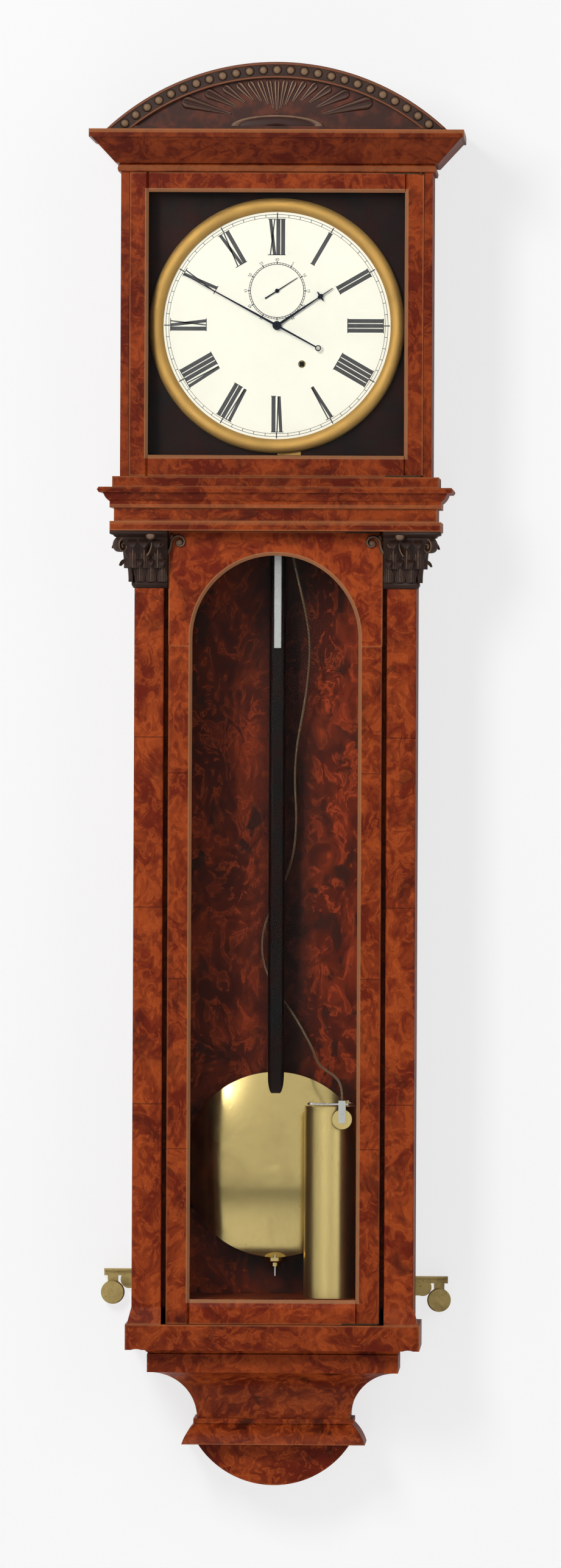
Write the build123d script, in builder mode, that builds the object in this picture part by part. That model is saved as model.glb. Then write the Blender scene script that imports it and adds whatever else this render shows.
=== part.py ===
from build123d import *
import os
from math import acos, atan2, cos, degrees, hypot, pi, radians, sin, sqrt, tan

# Weight-driven wall regulator in a veneered case, in millimetres.
# The wall is the plane y = 0, the front looks towards -Y and +Z is up.
# The origin is the centre of the hanging hole in the brass plate behind the hood.

os.makedirs("parts", exist_ok=True)

# Heights of the case, from the top down
pediment_rise = 75.5
cornice_fillet = 9.0
cornice_slope = 28.0
cornice_neck = 2.5
cornice_bead = 7.0
hanger_below_cornice = 11.0
hood_height = 340.0
plinth_height = 12.0
ledge_edge = 6.0
ledge_cove = 10.0
ledge_fillet = 7.0
frieze_height = 15.0
architrave_height = 10.5
trunk_height = 887.0
base_height = 28.5
scotia_height = 5.5
second_block_height = 20.5
cavetto_height = 54.5
flare_fillet = 5.5
flare_height = 23.0
terminal_height = 46.5

# Half widths and depths of the case
trunk_half = 157.5
trunk_depth = 150.0
hood_half = 173.7
hood_forward = 16.0
board = 15.0
hood_board = 9.2
back_thickness = 12.0
bead_out = 3.5
slope_out_low = 6.0
slope_out_top = 32.0
cornice_out = 35.0
plinth_out = 8.3
ledge_out = 24.8
ledge_under = 18.0
frieze_out = 22.5
architrave_out = 27.1
waist_front = 10.0
base_out = 7.0
second_block_in = 17.0
scotia_in = 19.0
flare_out_low = 17.0
flare_fillet_out = 4.0
terminal_half = 85.7
terminal_thickness = 74.0
pediment_half = 190.4
pediment_thickness = 40.0
pediment_front_inset = 18.4
tympanum_border = 18.0
tympanum_depth = 6.0
tympanum_sill = 4.0
pellet_count = 25
pellet_radius = 5.0
pellet_sides = 8
pellet_taper = 35.0
pellet_relief = 2.5
pellet_end_gap = 6.5
fan_rays = 15
fan_hub_half = 52.0
fan_hub_rise = 15.0
fan_relief = 5.0
fan_ray_relief = 3.5
fan_hub_fall = 2.5
fan_gap = 2.0
fan_spread = 150.0
fan_root_half = 1.2
fan_ray_share = 0.84

# Pilasters, capitals and stiles
pilaster_width = 33.0
pilaster_back = 23.0
rebate_reach = 14.5
rebate_thickness = 5.0
edge_round = 2.5
pilaster_foot = 19.0
foot_out = 5.0
capital_height = 64.0
capital_out = 27.1
capital_wrap = 15.0
capital_inner_gap = 1.0
abacus_height = 7.5
abacus_step = 4.0
volute_radius = 6.5
volute_length = 14.0
volute_drop = 5.0
door_volute_reach = 19.0
door_volute_relief = 3.6
door_volute_drop = 19.0
door_volute_tail = 24.7

# Leaves of a capital as width, height and forward curl, with their pitch, set back and level
low_leaf = (13.0, 26.0, 8.5)
low_leaf_pitch = 13.0
low_side_leaf = (12.0, 24.0, 8.5)
low_side_pitch = 12.5
low_leaf_out = 1.5
low_leaf_level = 5.0
high_leaf = (15.0, 28.0, 13.0)
high_leaf_pitch = 14.0
high_side_leaf = (13.0, 27.0, 12.0)
high_side_pitch = 16.0
high_leaf_out = 5.0
high_leaf_level = 24.0
side_leaf_back = 8.0
leaf_root = 1.5
leaf_lip = 4.0
leaf_tip = 3.0

# Doors
door_play = 0.5
hood_door_thickness = 18.0
hood_stile = 21.1
hood_top_rail = 22.0
hood_bottom_rail = 23.5
trunk_door_half = 119.5
trunk_door_thickness = 20.0
trunk_door_recess = 2.0
trunk_door_clear_back = 1.0
trunk_stile = 26.7
trunk_top_rail = 26.5
trunk_bottom_rail = 27.5
sight_bevel = 3.0
sill_bevel = 9.0
glass_thickness = 2.5
glass_lap = 5.0
glass_depth = 6.0
stile_joint_drop = 8.0
pivot_radius = 1.2
pivot_length = 5.0
pivot_inset = 3.5
hood_pivot_ahead = 1.2
trunk_pivot_ahead = 4.5
strap_thickness = 1.6
strap_length = 42.0
strap_width = 10.0
running_fit = 0.05

# Dial and hands
dial_below_cornice = 170.5
bezel_radius = 142.5
bezel_band = 15.5
bezel_depth = 13.0
bezel_flat = 3.0
bezel_tab_low = 1.0
bezel_tab_high = 27.0
bezel_tab_drop = 2.0
bezel_lip = 0.5
dial_under_bezel = 3.0
dial_foot_circle = 95.0
dial_foot_radius = 3.0
hour_pipe_radius = 3.0
seconds_arbor_radius = 1.0
cannon_radius = 1.8
dial_thickness = 3.0
dial_set_back = 28.0
mask_thickness = 4.0
mask_behind_dial = 3.0
seconds_above_centre = 38.8
winding_right = 28.0
winding_below = 43.0
winding_hole = 4.2
winding_play = 1.0
pipe_play = 1.0
seconds_play = 0.6
minute_hand_length = 121.0
minute_hand_tail = 56.0
minute_hand_turn = 298.6
tail_ring = 3.4
tail_overlap = 1.0
hour_hand_length = 75.0
hour_hand_cross = 58.5
cross_half = 6.5
cross_thickness = 1.1
cross_knot = (2.4, 3.4)
tail_ring_width = 1.2
hour_hand_turn = 56.0
seconds_hand_length = 27.0
seconds_hand_tail = 16.0
seconds_hand_turn = 57.0
hand_thickness = 0.8
hand_gap = 1.6
hand_boss = 4.4
hour_boss = 5.0
seconds_boss = 2.4
arbor_end = 0.6
seconds_arbor_end = 0.4
pipe_end = 0.2

# Half widths of the hands at the boss and at the far end
minute_halves = (1.3, 0.35)
minute_tail_halves = (1.1, 0.8)
hour_halves = (1.5, 0.4)
seconds_halves = (0.8, 0.3)

# Movement
plate_half = 80.0
plate_above = 76.0
plate_below = 105.0
plate_thickness = 3.0
plate_gap = 41.0
front_plate_behind_mask = 8.0
pillar_radius = 4.5
pillar_inset = 10.0
seat_thickness = 16.0
seat_back_gap = 62.0
line_slot_half = 12.0
arbor_radius = 2.0
barrel_radius = 22.0
barrel_flange = 23.4
barrel_arbor = 4.0
barrel_length = 26.0
barrel_back_gap = 3.5
pinion_teeth = 8
centre_teeth = 64
third_teeth = 60
great_teeth = 96
escape_teeth = 30
cannon_teeth = 12
minute_wheel_teeth = 36
minute_pinion_teeth = 10
hour_wheel_teeth = 40
centre_to_third = 30.0
third_to_escape = 26.0
motion_distance = 18.0
escape_radius = 15.5
pallet_above_escape = 24.1
wheel_thickness = 2.0
pinion_length = 4.5
pinion_lead = 1.0
motion_gap = 1.5
hour_wheel_gap = 1.0
great_hub = 14.0
great_rim = 38.0
great_arms = 3
escape_hub = 4.0
escape_rim = 10.5
escape_arms = 2
arm_share = 0.14
tooth_tip = 0.62
tooth_tip_half = 0.09
tooth_root = 0.95
tooth_root_half = 0.24
escape_tooth_depth = 3.0
escape_tooth_back = 5.0
escape_tooth_point = 2.0
crutch_length = 92.0
crutch_half = 2.5
crutch_pin = 1.5
crutch_top = 3.0
crutch_gap = 1.5
anchor_half = 15.6
anchor_fall = 9.0
anchor_web = 3.0
pallet_drop = 5.0
pallet_width = 2.0
stud_radius = 1.5
barrel_rim = 1.5
winding_square = 5.0
winding_end = 1.0
line_off_barrel = 0.3

# Pendulum
pendulum_gap = 28.0
suspension_drop = 6.4
rod_width = 18.5
rod_thickness = 14.0
rod_round = 5.0
spring_thickness = 0.6
spring_half = 4.0
pin_play = 0.3
rod_end_above_centre = 10.0
clamp_height = 8.0
cock_half = 10.0
cock_height = 8.0
pendulum_length = 1004.5
bob_radius = 104.3
bob_thickness = 30.0
bob_rim = 3.0
strap_steel_width = 9.0
strap_steel_thickness = 2.2
strap_steel_end = 423.0
rating_nut_radius = 12.5
rating_nut_height = 5.0
rating_screw_radius = 2.0
rating_tip = 16.0
nut_chamfer = 1.0

# Weight, pulley and line
floor_above_base = 28.5
floor_thickness = 12.0
cap_height = 4.0
groove = 1.0
weight_radius = 29.0
weight_height = 215.0
weight_right = 62.6
weight_bob_gap = 8.5
weight_rest = 0.1
bail_radius = 1.2
bail_half = 24.0
bail_reach = 35.0
bail_corner = 5.0
bail_end = 6.5
bail_end_corner = 1.6
bail_lift = 3.0
bail_post = 3.0
bail_post_in = 4.5
pulley_right = 14.0
pulley_radius = 11.0
pulley_drop = 17.0
pulley_width = 3.0
pulley_side_gap = 0.4
pulley_top_gap = 1.5
pulley_lip = 0.3
stirrup_thickness = 1.0
stirrup_half = 4.0
pulley_pin = 1.2
line_radius = 1.3

# Hanging plate and wall stays
hanger_hole = 5.0
hanger_plate_width = 60.0
hanger_plate_height = 34.0
hanger_plate_thickness = 3.0
hanger_pocket = 9.0
hanger_pocket_depth = 7.0
stay_above_base = (55.5, 48.5)
stay_plate = 3.0
stay_reach = 36.5
stay_lobe = 9.9
stay_lobe_in = 1.8
stay_lobe_drop = 12.5
stay_web_drop = 21.8
stay_neck_half = 5.9
stay_boss = 7.9
stay_flange = 4.0
stay_flange_depth = 9.0
stay_tongue = 26.0
stay_tongue_height = 29.7
thumb_drop = 26.6
thumb_tip_gap = 0.5
thumb_radius = 13.3
thumb_thickness = 5.0
thumb_gap = 3.0
thumb_shank = 3.0
thumb_chamfer = 1.2
screw_radius = 2.2
screw_length = 8.0

# Levels along Z, worked out from the hanging hole
cornice_low = hanger_below_cornice
bead_top = cornice_low + cornice_bead
slope_low = bead_top + cornice_neck
slope_top = slope_low + cornice_slope
cornice_top = slope_top + cornice_fillet
hood_low = cornice_low - hood_height
plinth_low = hood_low - plinth_height
cove_top = plinth_low - ledge_edge
cove_low = cove_top - ledge_cove
ledge_low = cove_low - ledge_fillet
frieze_low = ledge_low - frieze_height
trunk_top = frieze_low - architrave_height
trunk_low = trunk_top - trunk_height
base_low = trunk_low - base_height
scotia_low = base_low - scotia_height
second_low = scotia_low - second_block_height
cavetto_low = second_low - cavetto_height
fillet_low = cavetto_low - flare_fillet
flare_low = fillet_low - flare_height
dial_z = cornice_low - dial_below_cornice
seconds_z = dial_z + seconds_above_centre
pallet_z = seconds_z + pallet_above_escape
winding_z = dial_z - winding_below
floor_top = trunk_low + floor_above_base
bob_z = pallet_z - pendulum_length
capital_low = trunk_top - capital_height

# Planes along Y, and the left edge of the barrel where the line leaves it
line_left = winding_right - barrel_radius - line_radius - line_off_barrel
hood_depth = trunk_depth + hood_forward
dial_front = -(hood_depth - dial_set_back)
dial_back = dial_front + dial_thickness
mask_front = dial_back + mask_behind_dial
mask_back = mask_front + mask_thickness
front_plate_y = mask_back + front_plate_behind_mask
back_plate_y = front_plate_y + plate_thickness + plate_gap
barrel_y = back_plate_y - plate_gap / 2 - barrel_back_gap
plate_back = back_plate_y + plate_thickness
crutch_y = plate_back + crutch_gap
pendulum_back = -plate_back - pendulum_gap
seconds_hand_y = dial_front - hand_gap
hour_hand_y = seconds_hand_y - hand_thickness - hand_gap / 2
minute_hand_y = hour_hand_y - hand_thickness - hand_gap
inner_half = trunk_half - board
pilaster_inner = trunk_half - pilaster_width
trunk_door_front = -(trunk_depth - trunk_door_recess)
trunk_door_back = trunk_door_front + trunk_door_thickness
rebate_front = trunk_door_back + trunk_door_clear_back
hood_inner = hood_half - hood_board
hood_door_half = hood_inner - door_play


def keep(piece, label):
    """Name a finished piece and write it to its own file."""
    piece.part.label = label
    export_step(piece.part, f"parts/{label}.step")


def outline(base, runs):
    """Closed face on the right of the Y axis: a moulding profile measured outwards from base.

    Each run is (projection, height) for a straight stretch, or (projection, height, radius)
    for an arc that ends there. A negative radius bends the arc the other way.
    """
    last = (0, runs[0][1])
    with BuildSketch() as face:
        with BuildLine():
            for run in runs:
                end = (base + run[0], run[1])
                if len(run) == 3:
                    RadiusArc(last, end, run[2])
                else:
                    Line(last, end)
                last = end
            Polyline(last, (0, last[1]), (0, runs[0][1]))
        make_face()
    return face.sketch


def moulded(half, depth, runs):
    """Moulding that runs along the front and returns along both sides, mitred at the corners."""
    widest = max(run[0] for run in runs)
    with BuildPart() as piece:
        with BuildSketch(Plane.XZ):
            add(outline(half, runs))
            mirror(about=Plane.YZ)
        extrude(amount=depth + widest)
        with BuildSketch(Plane.YZ):
            add(mirror(outline(depth, runs), about=Plane.YZ, mode=Mode.PRIVATE))
        extrude(amount=half + widest, both=True, mode=Mode.INTERSECT)
    return piece.part


def slab(x_low, x_high, y_low, y_high, z_low, z_high, mode=Mode.ADD):
    """Board, or space, between two corners."""
    with BuildSketch(Plane.XY.offset(z_low)) as face:
        with Locations(((x_low + x_high) / 2, (y_low + y_high) / 2)):
            Rectangle(abs(x_high - x_low), abs(y_high - y_low))
    extrude(face.sketch, amount=z_high - z_low, mode=mode)


def hollow(half, front, back, low, high):
    """Rectangular space centred on x = 0."""
    slab(-half, half, front, back, low, high, mode=Mode.SUBTRACT)


def rod_along_y(x, z, radius, y_low, y_high, mode=Mode.ADD):
    """Round rod, pin or hole along Y."""
    with BuildSketch(Plane.XZ.offset(-y_high)) as face:
        with Locations((x, z)):
            Circle(radius)
    extrude(face.sketch, amount=y_high - y_low, mode=mode)


def rod_along_z(x, y, radius, z_low, z_high, mode=Mode.ADD):
    """Round rod, pin or hole along Z."""
    with BuildSketch(Plane.XY.offset(z_low)) as face:
        with Locations((x, y)):
            Circle(radius)
    extrude(face.sketch, amount=z_high - z_low, mode=mode)


# Backboard: wide behind the hood, narrow behind the trunk
with BuildPart() as backboard:
    slab(-hood_half, hood_half, -back_thickness, 0, hood_low, cornice_low)
    slab(-trunk_half, trunk_half, -back_thickness, 0, trunk_low, hood_low)
    slab(-hanger_plate_width / 2, hanger_plate_width / 2, -hanger_plate_thickness, 0,
         -hanger_plate_height / 2, hanger_below_cornice, mode=Mode.SUBTRACT)
    rod_along_y(0, 0, hanger_pocket, -hanger_plate_thickness - hanger_pocket_depth,
                -hanger_plate_thickness, mode=Mode.SUBTRACT)
    for side in (-1, 1):
        rod_along_y(side * hanger_plate_width / 3, 0, screw_radius, -screw_length, 0, mode=Mode.SUBTRACT)
    for side, above in ((-1, stay_above_base[0]), (1, stay_above_base[1])):
        slab(side * (trunk_half - stay_tongue), side * trunk_half, -stay_plate, 0,
             trunk_low + above - stay_tongue_height, trunk_low + above, mode=Mode.SUBTRACT)
keep(backboard, "backboard")


# Hanging plate let into the back, with its two wood screws
with BuildPart() as hanger_plate:
    slab(-hanger_plate_width / 2, hanger_plate_width / 2, -hanger_plate_thickness, 0,
         -hanger_plate_height / 2, hanger_below_cornice)
    rod_along_y(0, 0, hanger_hole, -hanger_plate_thickness, 0, mode=Mode.SUBTRACT)
    for side in (-1, 1):
        rod_along_y(side * hanger_plate_width / 3, 0, screw_radius, -hanger_plate_thickness, 0,
                    mode=Mode.SUBTRACT)
        rod_along_y(side * hanger_plate_width / 3, 0, screw_radius, -screw_length, 0)
keep(hanger_plate, "hanger_plate")


def trunk_side(side):
    """Side board of the trunk, from the base block to the architrave."""
    with BuildPart() as piece:
        slab(side * inner_half, side * trunk_half, -(trunk_depth - pilaster_back), -back_thickness,
             trunk_low, trunk_top)
    return piece


def hood_side(side):
    """Side board of the hood, whose front edge shows beside the door."""
    with BuildPart() as piece:
        slab(side * hood_inner, side * hood_half, -hood_depth, -back_thickness, hood_low, cornice_low)
    return piece


def frustum(levels):
    """Straight-sided block through rectangles: (z, x_low, x_high, y_low, y_high) from the bottom up."""
    faces = []
    for z, x_low, x_high, y_low, y_high in levels:
        with BuildSketch(Plane.XY.offset(z)) as face:
            with Locations(((x_low + x_high) / 2, (y_low + y_high) / 2)):
                Rectangle(abs(x_high - x_low), abs(y_high - y_low))
        faces.append(face.sketch)
    loft(faces, ruled=True)


def pilaster(side):
    """Pilaster on the corner of the trunk with the door rebate behind it, and its foot block."""
    back = -(trunk_depth - pilaster_back)
    with BuildPart() as piece:
        with BuildSketch(Plane.XY.offset(trunk_low + pilaster_foot)):
            with BuildLine():
                Polyline(
                    (side * trunk_half, -trunk_depth),
                    (side * trunk_half, back),
                    (side * inner_half, back),
                    (side * inner_half, rebate_front + rebate_thickness),
                    (side * (pilaster_inner - rebate_reach), rebate_front + rebate_thickness),
                    (side * (pilaster_inner - rebate_reach), rebate_front),
                    (side * pilaster_inner, rebate_front),
                    (side * pilaster_inner, -trunk_depth),
                    close=True,
                )
            make_face()
        extrude(amount=trunk_height - pilaster_foot - capital_height)
        fillet(piece.edges().filter_by(Axis.Z).group_by(Axis.Y)[0], radius=edge_round)
    with BuildPart() as foot:
        frustum((
            (trunk_low, side * pilaster_inner, side * (trunk_half + foot_out),
             -(trunk_depth + foot_out), back),
            (trunk_low + pilaster_foot, side * pilaster_inner, side * trunk_half,
             -trunk_depth, back),
        ))
    with BuildPart() as both:
        add(piece.part)
        add(foot.part)
    return both


for side, word in ((-1, "left"), (1, "right")):
    keep(trunk_side(side), f"trunk_side_{word}")
    keep(hood_side(side), f"hood_side_{word}")
    keep(pilaster(side), f"pilaster_{word}")


def ring_cut(low, high):
    """Open the inside of a moulding to the trunk and let it fit round the backboard."""
    hollow(inner_half, waist_front - trunk_depth, -back_thickness, low, high)
    hollow(trunk_half, -back_thickness, 0, low, high)


def fillet_run(out, low, high):
    """Plain square-edged band."""
    return ((out, low), (out, high))


# Waist of the case: architrave, frieze, ledge with its cove, and the plinth under the hood
trunk_pivot_x = trunk_door_half - pivot_inset
trunk_pivot_y = trunk_door_front - trunk_pivot_ahead
hood_pivot_x = hood_door_half - pivot_inset
hood_pivot_y = -hood_depth - hood_pivot_ahead
pivot_hole = pivot_radius + running_fit

with BuildPart() as architrave:
    add(moulded(trunk_half, trunk_depth, fillet_run(architrave_out, trunk_top, frieze_low)))
    ring_cut(trunk_top, frieze_low)
    rod_along_z(trunk_pivot_x, trunk_pivot_y, pivot_hole, trunk_top, trunk_top + pivot_length,
                mode=Mode.SUBTRACT)
keep(architrave, "architrave")

with BuildPart() as frieze:
    add(moulded(trunk_half, trunk_depth, fillet_run(frieze_out, frieze_low, ledge_low)))
    ring_cut(frieze_low, ledge_low)
keep(frieze, "frieze")

hood_step = hood_half - trunk_half
ledge_runs = (
    (architrave_out, ledge_low),
    (architrave_out, cove_low),
    (ledge_under + hood_step, cove_top, -ledge_cove * 1.6),
    (ledge_out + hood_step - ledge_edge / 3, cove_top),
    (ledge_out + hood_step, cove_top + ledge_edge / 2),
    (ledge_out + hood_step - ledge_edge / 3, plinth_low),
)
with BuildPart() as waist_ledge:
    add(moulded(trunk_half, trunk_depth, ledge_runs))
    ring_cut(ledge_low, plinth_low)
keep(waist_ledge, "waist_ledge")

with BuildPart() as hood_plinth:
    add(moulded(hood_half, hood_depth, fillet_run(plinth_out, plinth_low, hood_low)))
    ring_cut(plinth_low, hood_low)
    rod_along_z(hood_pivot_x, hood_pivot_y, pivot_hole, hood_low - pivot_length, hood_low,
                mode=Mode.SUBTRACT)
keep(hood_plinth, "hood_plinth")

# Cornice: bead, neck, long sloping face and top fillet
cornice_runs = (
    (bead_out - 0.5, cornice_low),
    (bead_out + 0.5, cornice_low + cornice_bead / 2),
    (bead_out - 0.5, bead_top),
    (bead_out - 2.0, slope_low),
    (slope_out_low, slope_low),
    (slope_out_top, slope_top),
    (cornice_out, slope_top),
    (cornice_out, cornice_top),
)
with BuildPart() as cornice:
    add(moulded(hood_half, hood_depth, cornice_runs))
    hollow(inner_half, board - hood_depth, -back_thickness, cornice_low, slope_low + board)
    rod_along_z(hood_pivot_x, hood_pivot_y, pivot_hole, cornice_low, cornice_low + pivot_length,
                mode=Mode.SUBTRACT)
keep(cornice, "cornice")

# Pediment: segmental board with a sunk tympanum, an inner moulding and a row of pellets
pediment_radius = (pediment_half**2 + pediment_rise**2) / (2 * pediment_rise)
pediment_front = -(hood_depth + cornice_out - pediment_front_inset)
pediment_centre = cornice_top + pediment_rise - pediment_radius
tympanum_radius = pediment_radius - tympanum_border
tympanum_low = cornice_top + tympanum_sill
tympanum_half = sqrt(tympanum_radius**2 - (tympanum_low - pediment_centre) ** 2)
pellet_arc = pediment_radius - tympanum_border / 2
pellet_end = acos((cornice_top + pellet_end_gap - pediment_centre) / pellet_arc)


def segment_face(half, low, high):
    """Face between a level chord and the arc over it, in the XZ plane."""
    with BuildSketch() as face:
        with BuildLine():
            Line((-half, low), (half, low))
            ThreePointArc((-half, low), (0, high), (half, low))
        make_face()
    return face.sketch


with BuildPart() as pediment:
    with BuildSketch(Plane.XZ.offset(-pediment_front - pediment_thickness)):
        add(segment_face(pediment_half, cornice_top, cornice_top + pediment_rise))
    extrude(amount=pediment_thickness)
    with BuildSketch(Plane.XZ.offset(-pediment_front)):
        add(segment_face(tympanum_half, tympanum_low, pediment_centre + tympanum_radius))
    extrude(amount=-tympanum_depth, mode=Mode.SUBTRACT)
    with BuildSketch(Plane.XZ.offset(-pediment_front)):
        for index in range(pellet_count):
            turn = pellet_end * (2 * index / (pellet_count - 1) - 1)
            with Locations((pellet_arc * sin(turn), pediment_centre + pellet_arc * cos(turn))):
                RegularPolygon(pellet_radius, pellet_sides)
    extrude(amount=pellet_relief, taper=pellet_taper)
keep(pediment, "pediment")


def ray_face(lean):
    """Outline of one round-ended ray of the fan, lying along X from the hub to the rim."""
    start = hypot(fan_hub_half * sin(lean), fan_hub_rise * cos(lean)) + fan_gap
    rim = tympanum_radius - fan_gap
    drop = (tympanum_low - pediment_centre) * cos(lean)
    reach = sqrt(drop**2 + rim**2 - (tympanum_low - pediment_centre) ** 2) - drop
    tip_half = fan_ray_share * reach * radians(fan_spread / fan_rays) / 2
    end = reach - tip_half
    with BuildSketch() as face:
        with BuildLine():
            Line((start, -fan_root_half), (end, -tip_half))
            ThreePointArc((end, -tip_half), (reach, 0), (end, tip_half))
            Polyline((end, tip_half), (start, fan_root_half), (start, -fan_root_half))
        make_face()
    return face.sketch


# Carved fan: a half-round hub with rays standing in the sunk tympanum
with BuildPart() as fan_carving:
    with BuildSketch(Plane.XZ.offset(-pediment_front - tympanum_depth)):
        add(segment_face(fan_hub_half, tympanum_low, tympanum_low + fan_hub_rise - fan_hub_fall))
    extrude(amount=fan_relief)
    with BuildSketch(Plane.XZ.offset(-pediment_front - tympanum_depth)):
        for index in range(fan_rays):
            turn = fan_spread * (index / (fan_rays - 1) - 0.5)
            with Locations(Location((0, tympanum_low, 0), (0, 0, 90 - turn))):
                add(ray_face(radians(turn)))
    extrude(amount=fan_ray_relief)
    with BuildSketch(Plane.XZ.offset(-pediment_front - tympanum_depth)):
        add(segment_face(tympanum_half - fan_gap, tympanum_low,
                         pediment_centre + tympanum_radius - fan_gap / 2))
    extrude(amount=fan_relief, mode=Mode.INTERSECT)
keep(fan_carving, "fan_carving")


def leaf(size, x, y, z, turn=0.0):
    """Carved leaf: a pointed tongue in front view that curls forward at its tip."""
    width, height, curl = size
    with BuildPart() as tongue:
        with BuildSketch(Plane.XZ):
            with BuildLine():
                Line((-width / 2, 0), (width / 2, 0))
                RadiusArc((width / 2, 0), (0, height), -height)
                RadiusArc((0, height), (-width / 2, 0), -height)
            make_face()
        extrude(amount=curl + leaf_lip)
        with BuildSketch(Plane.YZ):
            with BuildLine():
                Line((0, 0), (-leaf_root, 0))
                RadiusArc((-leaf_root, 0), (-curl, height - leaf_tip), curl * 2.4)
                Polyline((-curl, height - leaf_tip), (-curl, height), (leaf_tip - curl, height),
                         (0, height * 0.6), (0, 0))
            make_face()
        extrude(amount=width, both=True, mode=Mode.INTERSECT)
    return tongue.part.moved(Location((x, y, z), (0, 0, turn)))


# Steps of the bell of the capital: height as a share, and projection in millimetres
bell_steps = ((0.0, 1.2), (0.05, 3.2), (0.10, 3.2), (0.12, 4.2), (0.42, 7.5), (0.68, 17.0))


def capital(side):
    """Carved capital round the top of a pilaster: bell with two rows of leaves, volutes, abacus."""
    x_in = side * (trunk_door_half + capital_inner_gap)
    wrap = -(trunk_depth - pilaster_back - capital_wrap)
    front = -(trunk_depth + capital_out)
    levels = []
    for share, out in bell_steps:
        levels.append((capital_low + share * capital_height, x_in, side * (trunk_half + out),
                       -(trunk_depth + out), wrap))
    top = trunk_top - abacus_height
    levels.append((top, x_in, side * (trunk_half + capital_out - abacus_step), front + abacus_step, wrap))
    middle = (x_in + side * trunk_half) / 2
    low, high = capital_low + low_leaf_level, capital_low + high_leaf_level
    side_y = -trunk_depth + side_leaf_back
    with BuildPart() as piece:
        frustum(levels)
        slab(x_in, side * (trunk_half + capital_out), front, wrap, top, trunk_top)
        for step in (-1, 0, 1):
            add(leaf(low_leaf, middle + step * low_leaf_pitch, -trunk_depth - low_leaf_out, low))
            add(leaf(low_side_leaf, side * (trunk_half + low_leaf_out), side_y + step * low_side_pitch,
                     low, side * 90))
        for step in (-0.5, 0.5, 1.5):
            add(leaf(high_leaf, middle + side * step * high_leaf_pitch, -trunk_depth - high_leaf_out, high))
        for step in (-0.5, 0.5):
            add(leaf(high_side_leaf, side * (trunk_half + high_leaf_out), side_y + step * high_side_pitch,
                     high, side * 90))
        for x in (side * (trunk_half + capital_out - volute_radius), x_in + side * volute_radius):
            rod_along_y(x, top - volute_drop, volute_radius, front, front + volute_length)
        slab(0, side * trunk_half, -(trunk_depth - pilaster_back), 0, capital_low, trunk_top,
             mode=Mode.SUBTRACT)
        slab(0, x_in, -2 * trunk_depth, 0, capital_low, trunk_top, mode=Mode.SUBTRACT)
        slab(0, side * 2 * trunk_half, -2 * trunk_depth, 0, trunk_top, trunk_top + capital_height,
             mode=Mode.SUBTRACT)
    return piece


for side, word in ((-1, "left"), (1, "right")):
    keep(capital(side), f"capital_{word}")

# Base of the case: floor, base block, scotia and second block
with BuildPart() as trunk_floor:
    slab(-inner_half, inner_half, rebate_front + rebate_thickness, -back_thickness,
         floor_top - floor_thickness, floor_top)
    slab(rebate_reach - pilaster_inner + door_play, pilaster_inner - rebate_reach - door_play,
         trunk_door_back + door_play, rebate_front + rebate_thickness,
         floor_top - floor_thickness, floor_top)
keep(trunk_floor, "trunk_floor")

base_runs = (
    (-second_block_in, second_low),
    (-second_block_in, scotia_low),
    (-scotia_in, scotia_low),
    (0, base_low, scotia_height * 3.0),
    (base_out, base_low),
    (base_out, trunk_low),
)
with BuildPart() as base_block:
    add(moulded(trunk_half, trunk_depth, base_runs))
    hollow(inner_half, -(trunk_depth - pilaster_back), -back_thickness, base_low + board, trunk_low)
    rod_along_z(trunk_pivot_x, trunk_pivot_y, pivot_hole, trunk_low - pivot_length, trunk_low,
                mode=Mode.SUBTRACT)
keep(base_block, "base_block")

# Concave bracket under the base, flaring foot moulding and half-round drop
bracket_half = trunk_half - second_block_in
bracket_depth = trunk_depth - second_block_in
cavetto_runs = ((-cavetto_height, cavetto_low), (0, second_low, cavetto_height))
with BuildPart() as cavetto_bracket:
    add(moulded(bracket_half, bracket_depth, cavetto_runs))
keep(cavetto_bracket, "cavetto_bracket")

foot_half = bracket_half - cavetto_height
foot_depth = bracket_depth - cavetto_height
flare_runs = (
    (flare_out_low, flare_low),
    (flare_fillet_out - 1.5, fillet_low, -2.2 * flare_height),
    (flare_fillet_out, fillet_low),
    (flare_fillet_out, cavetto_low),
)
with BuildPart() as flare_moulding:
    add(moulded(foot_half, foot_depth, flare_runs))
keep(flare_moulding, "flare_moulding")

with BuildPart() as terminal_drop:
    with BuildSketch(Plane.XZ):
        add(mirror(segment_face(terminal_half, -flare_low, terminal_height - flare_low), about=Plane.XZ,
                   mode=Mode.PRIVATE))
    extrude(amount=terminal_thickness)
keep(terminal_drop, "terminal_drop")


def stile_face(side, inner, outer, front, back):
    """Section of a door stile: a rebate at the back of its inner edge takes the glass."""
    glass_seat = front + glass_depth
    with BuildSketch() as face:
        with BuildLine():
            Polyline(
                (side * (inner + sight_bevel), front),
                (side * outer, front),
                (side * outer, back),
                (side * (inner + glass_lap), back),
                (side * (inner + glass_lap), glass_seat),
                (side * inner, glass_seat),
                (side * inner, front + sight_bevel),
                close=True,
            )
        make_face()
    return face.sketch


def rail_face(low, high, front, back, opening_above, bevel):
    """Section of a door rail in the YZ plane, with its glass edge above or below."""
    glass_seat = front + glass_depth
    sign = 1 if opening_above else -1
    edge = high if opening_above else low
    far = low if opening_above else high
    with BuildSketch() as face:
        with BuildLine():
            Polyline(
                (front, edge - sign * bevel),
                (front, far),
                (back, far),
                (back, edge - sign * glass_lap),
                (glass_seat, edge - sign * glass_lap),
                (glass_seat, edge),
                (front + sight_bevel, edge),
                close=True,
            )
        make_face()
    return face.sketch


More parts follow.
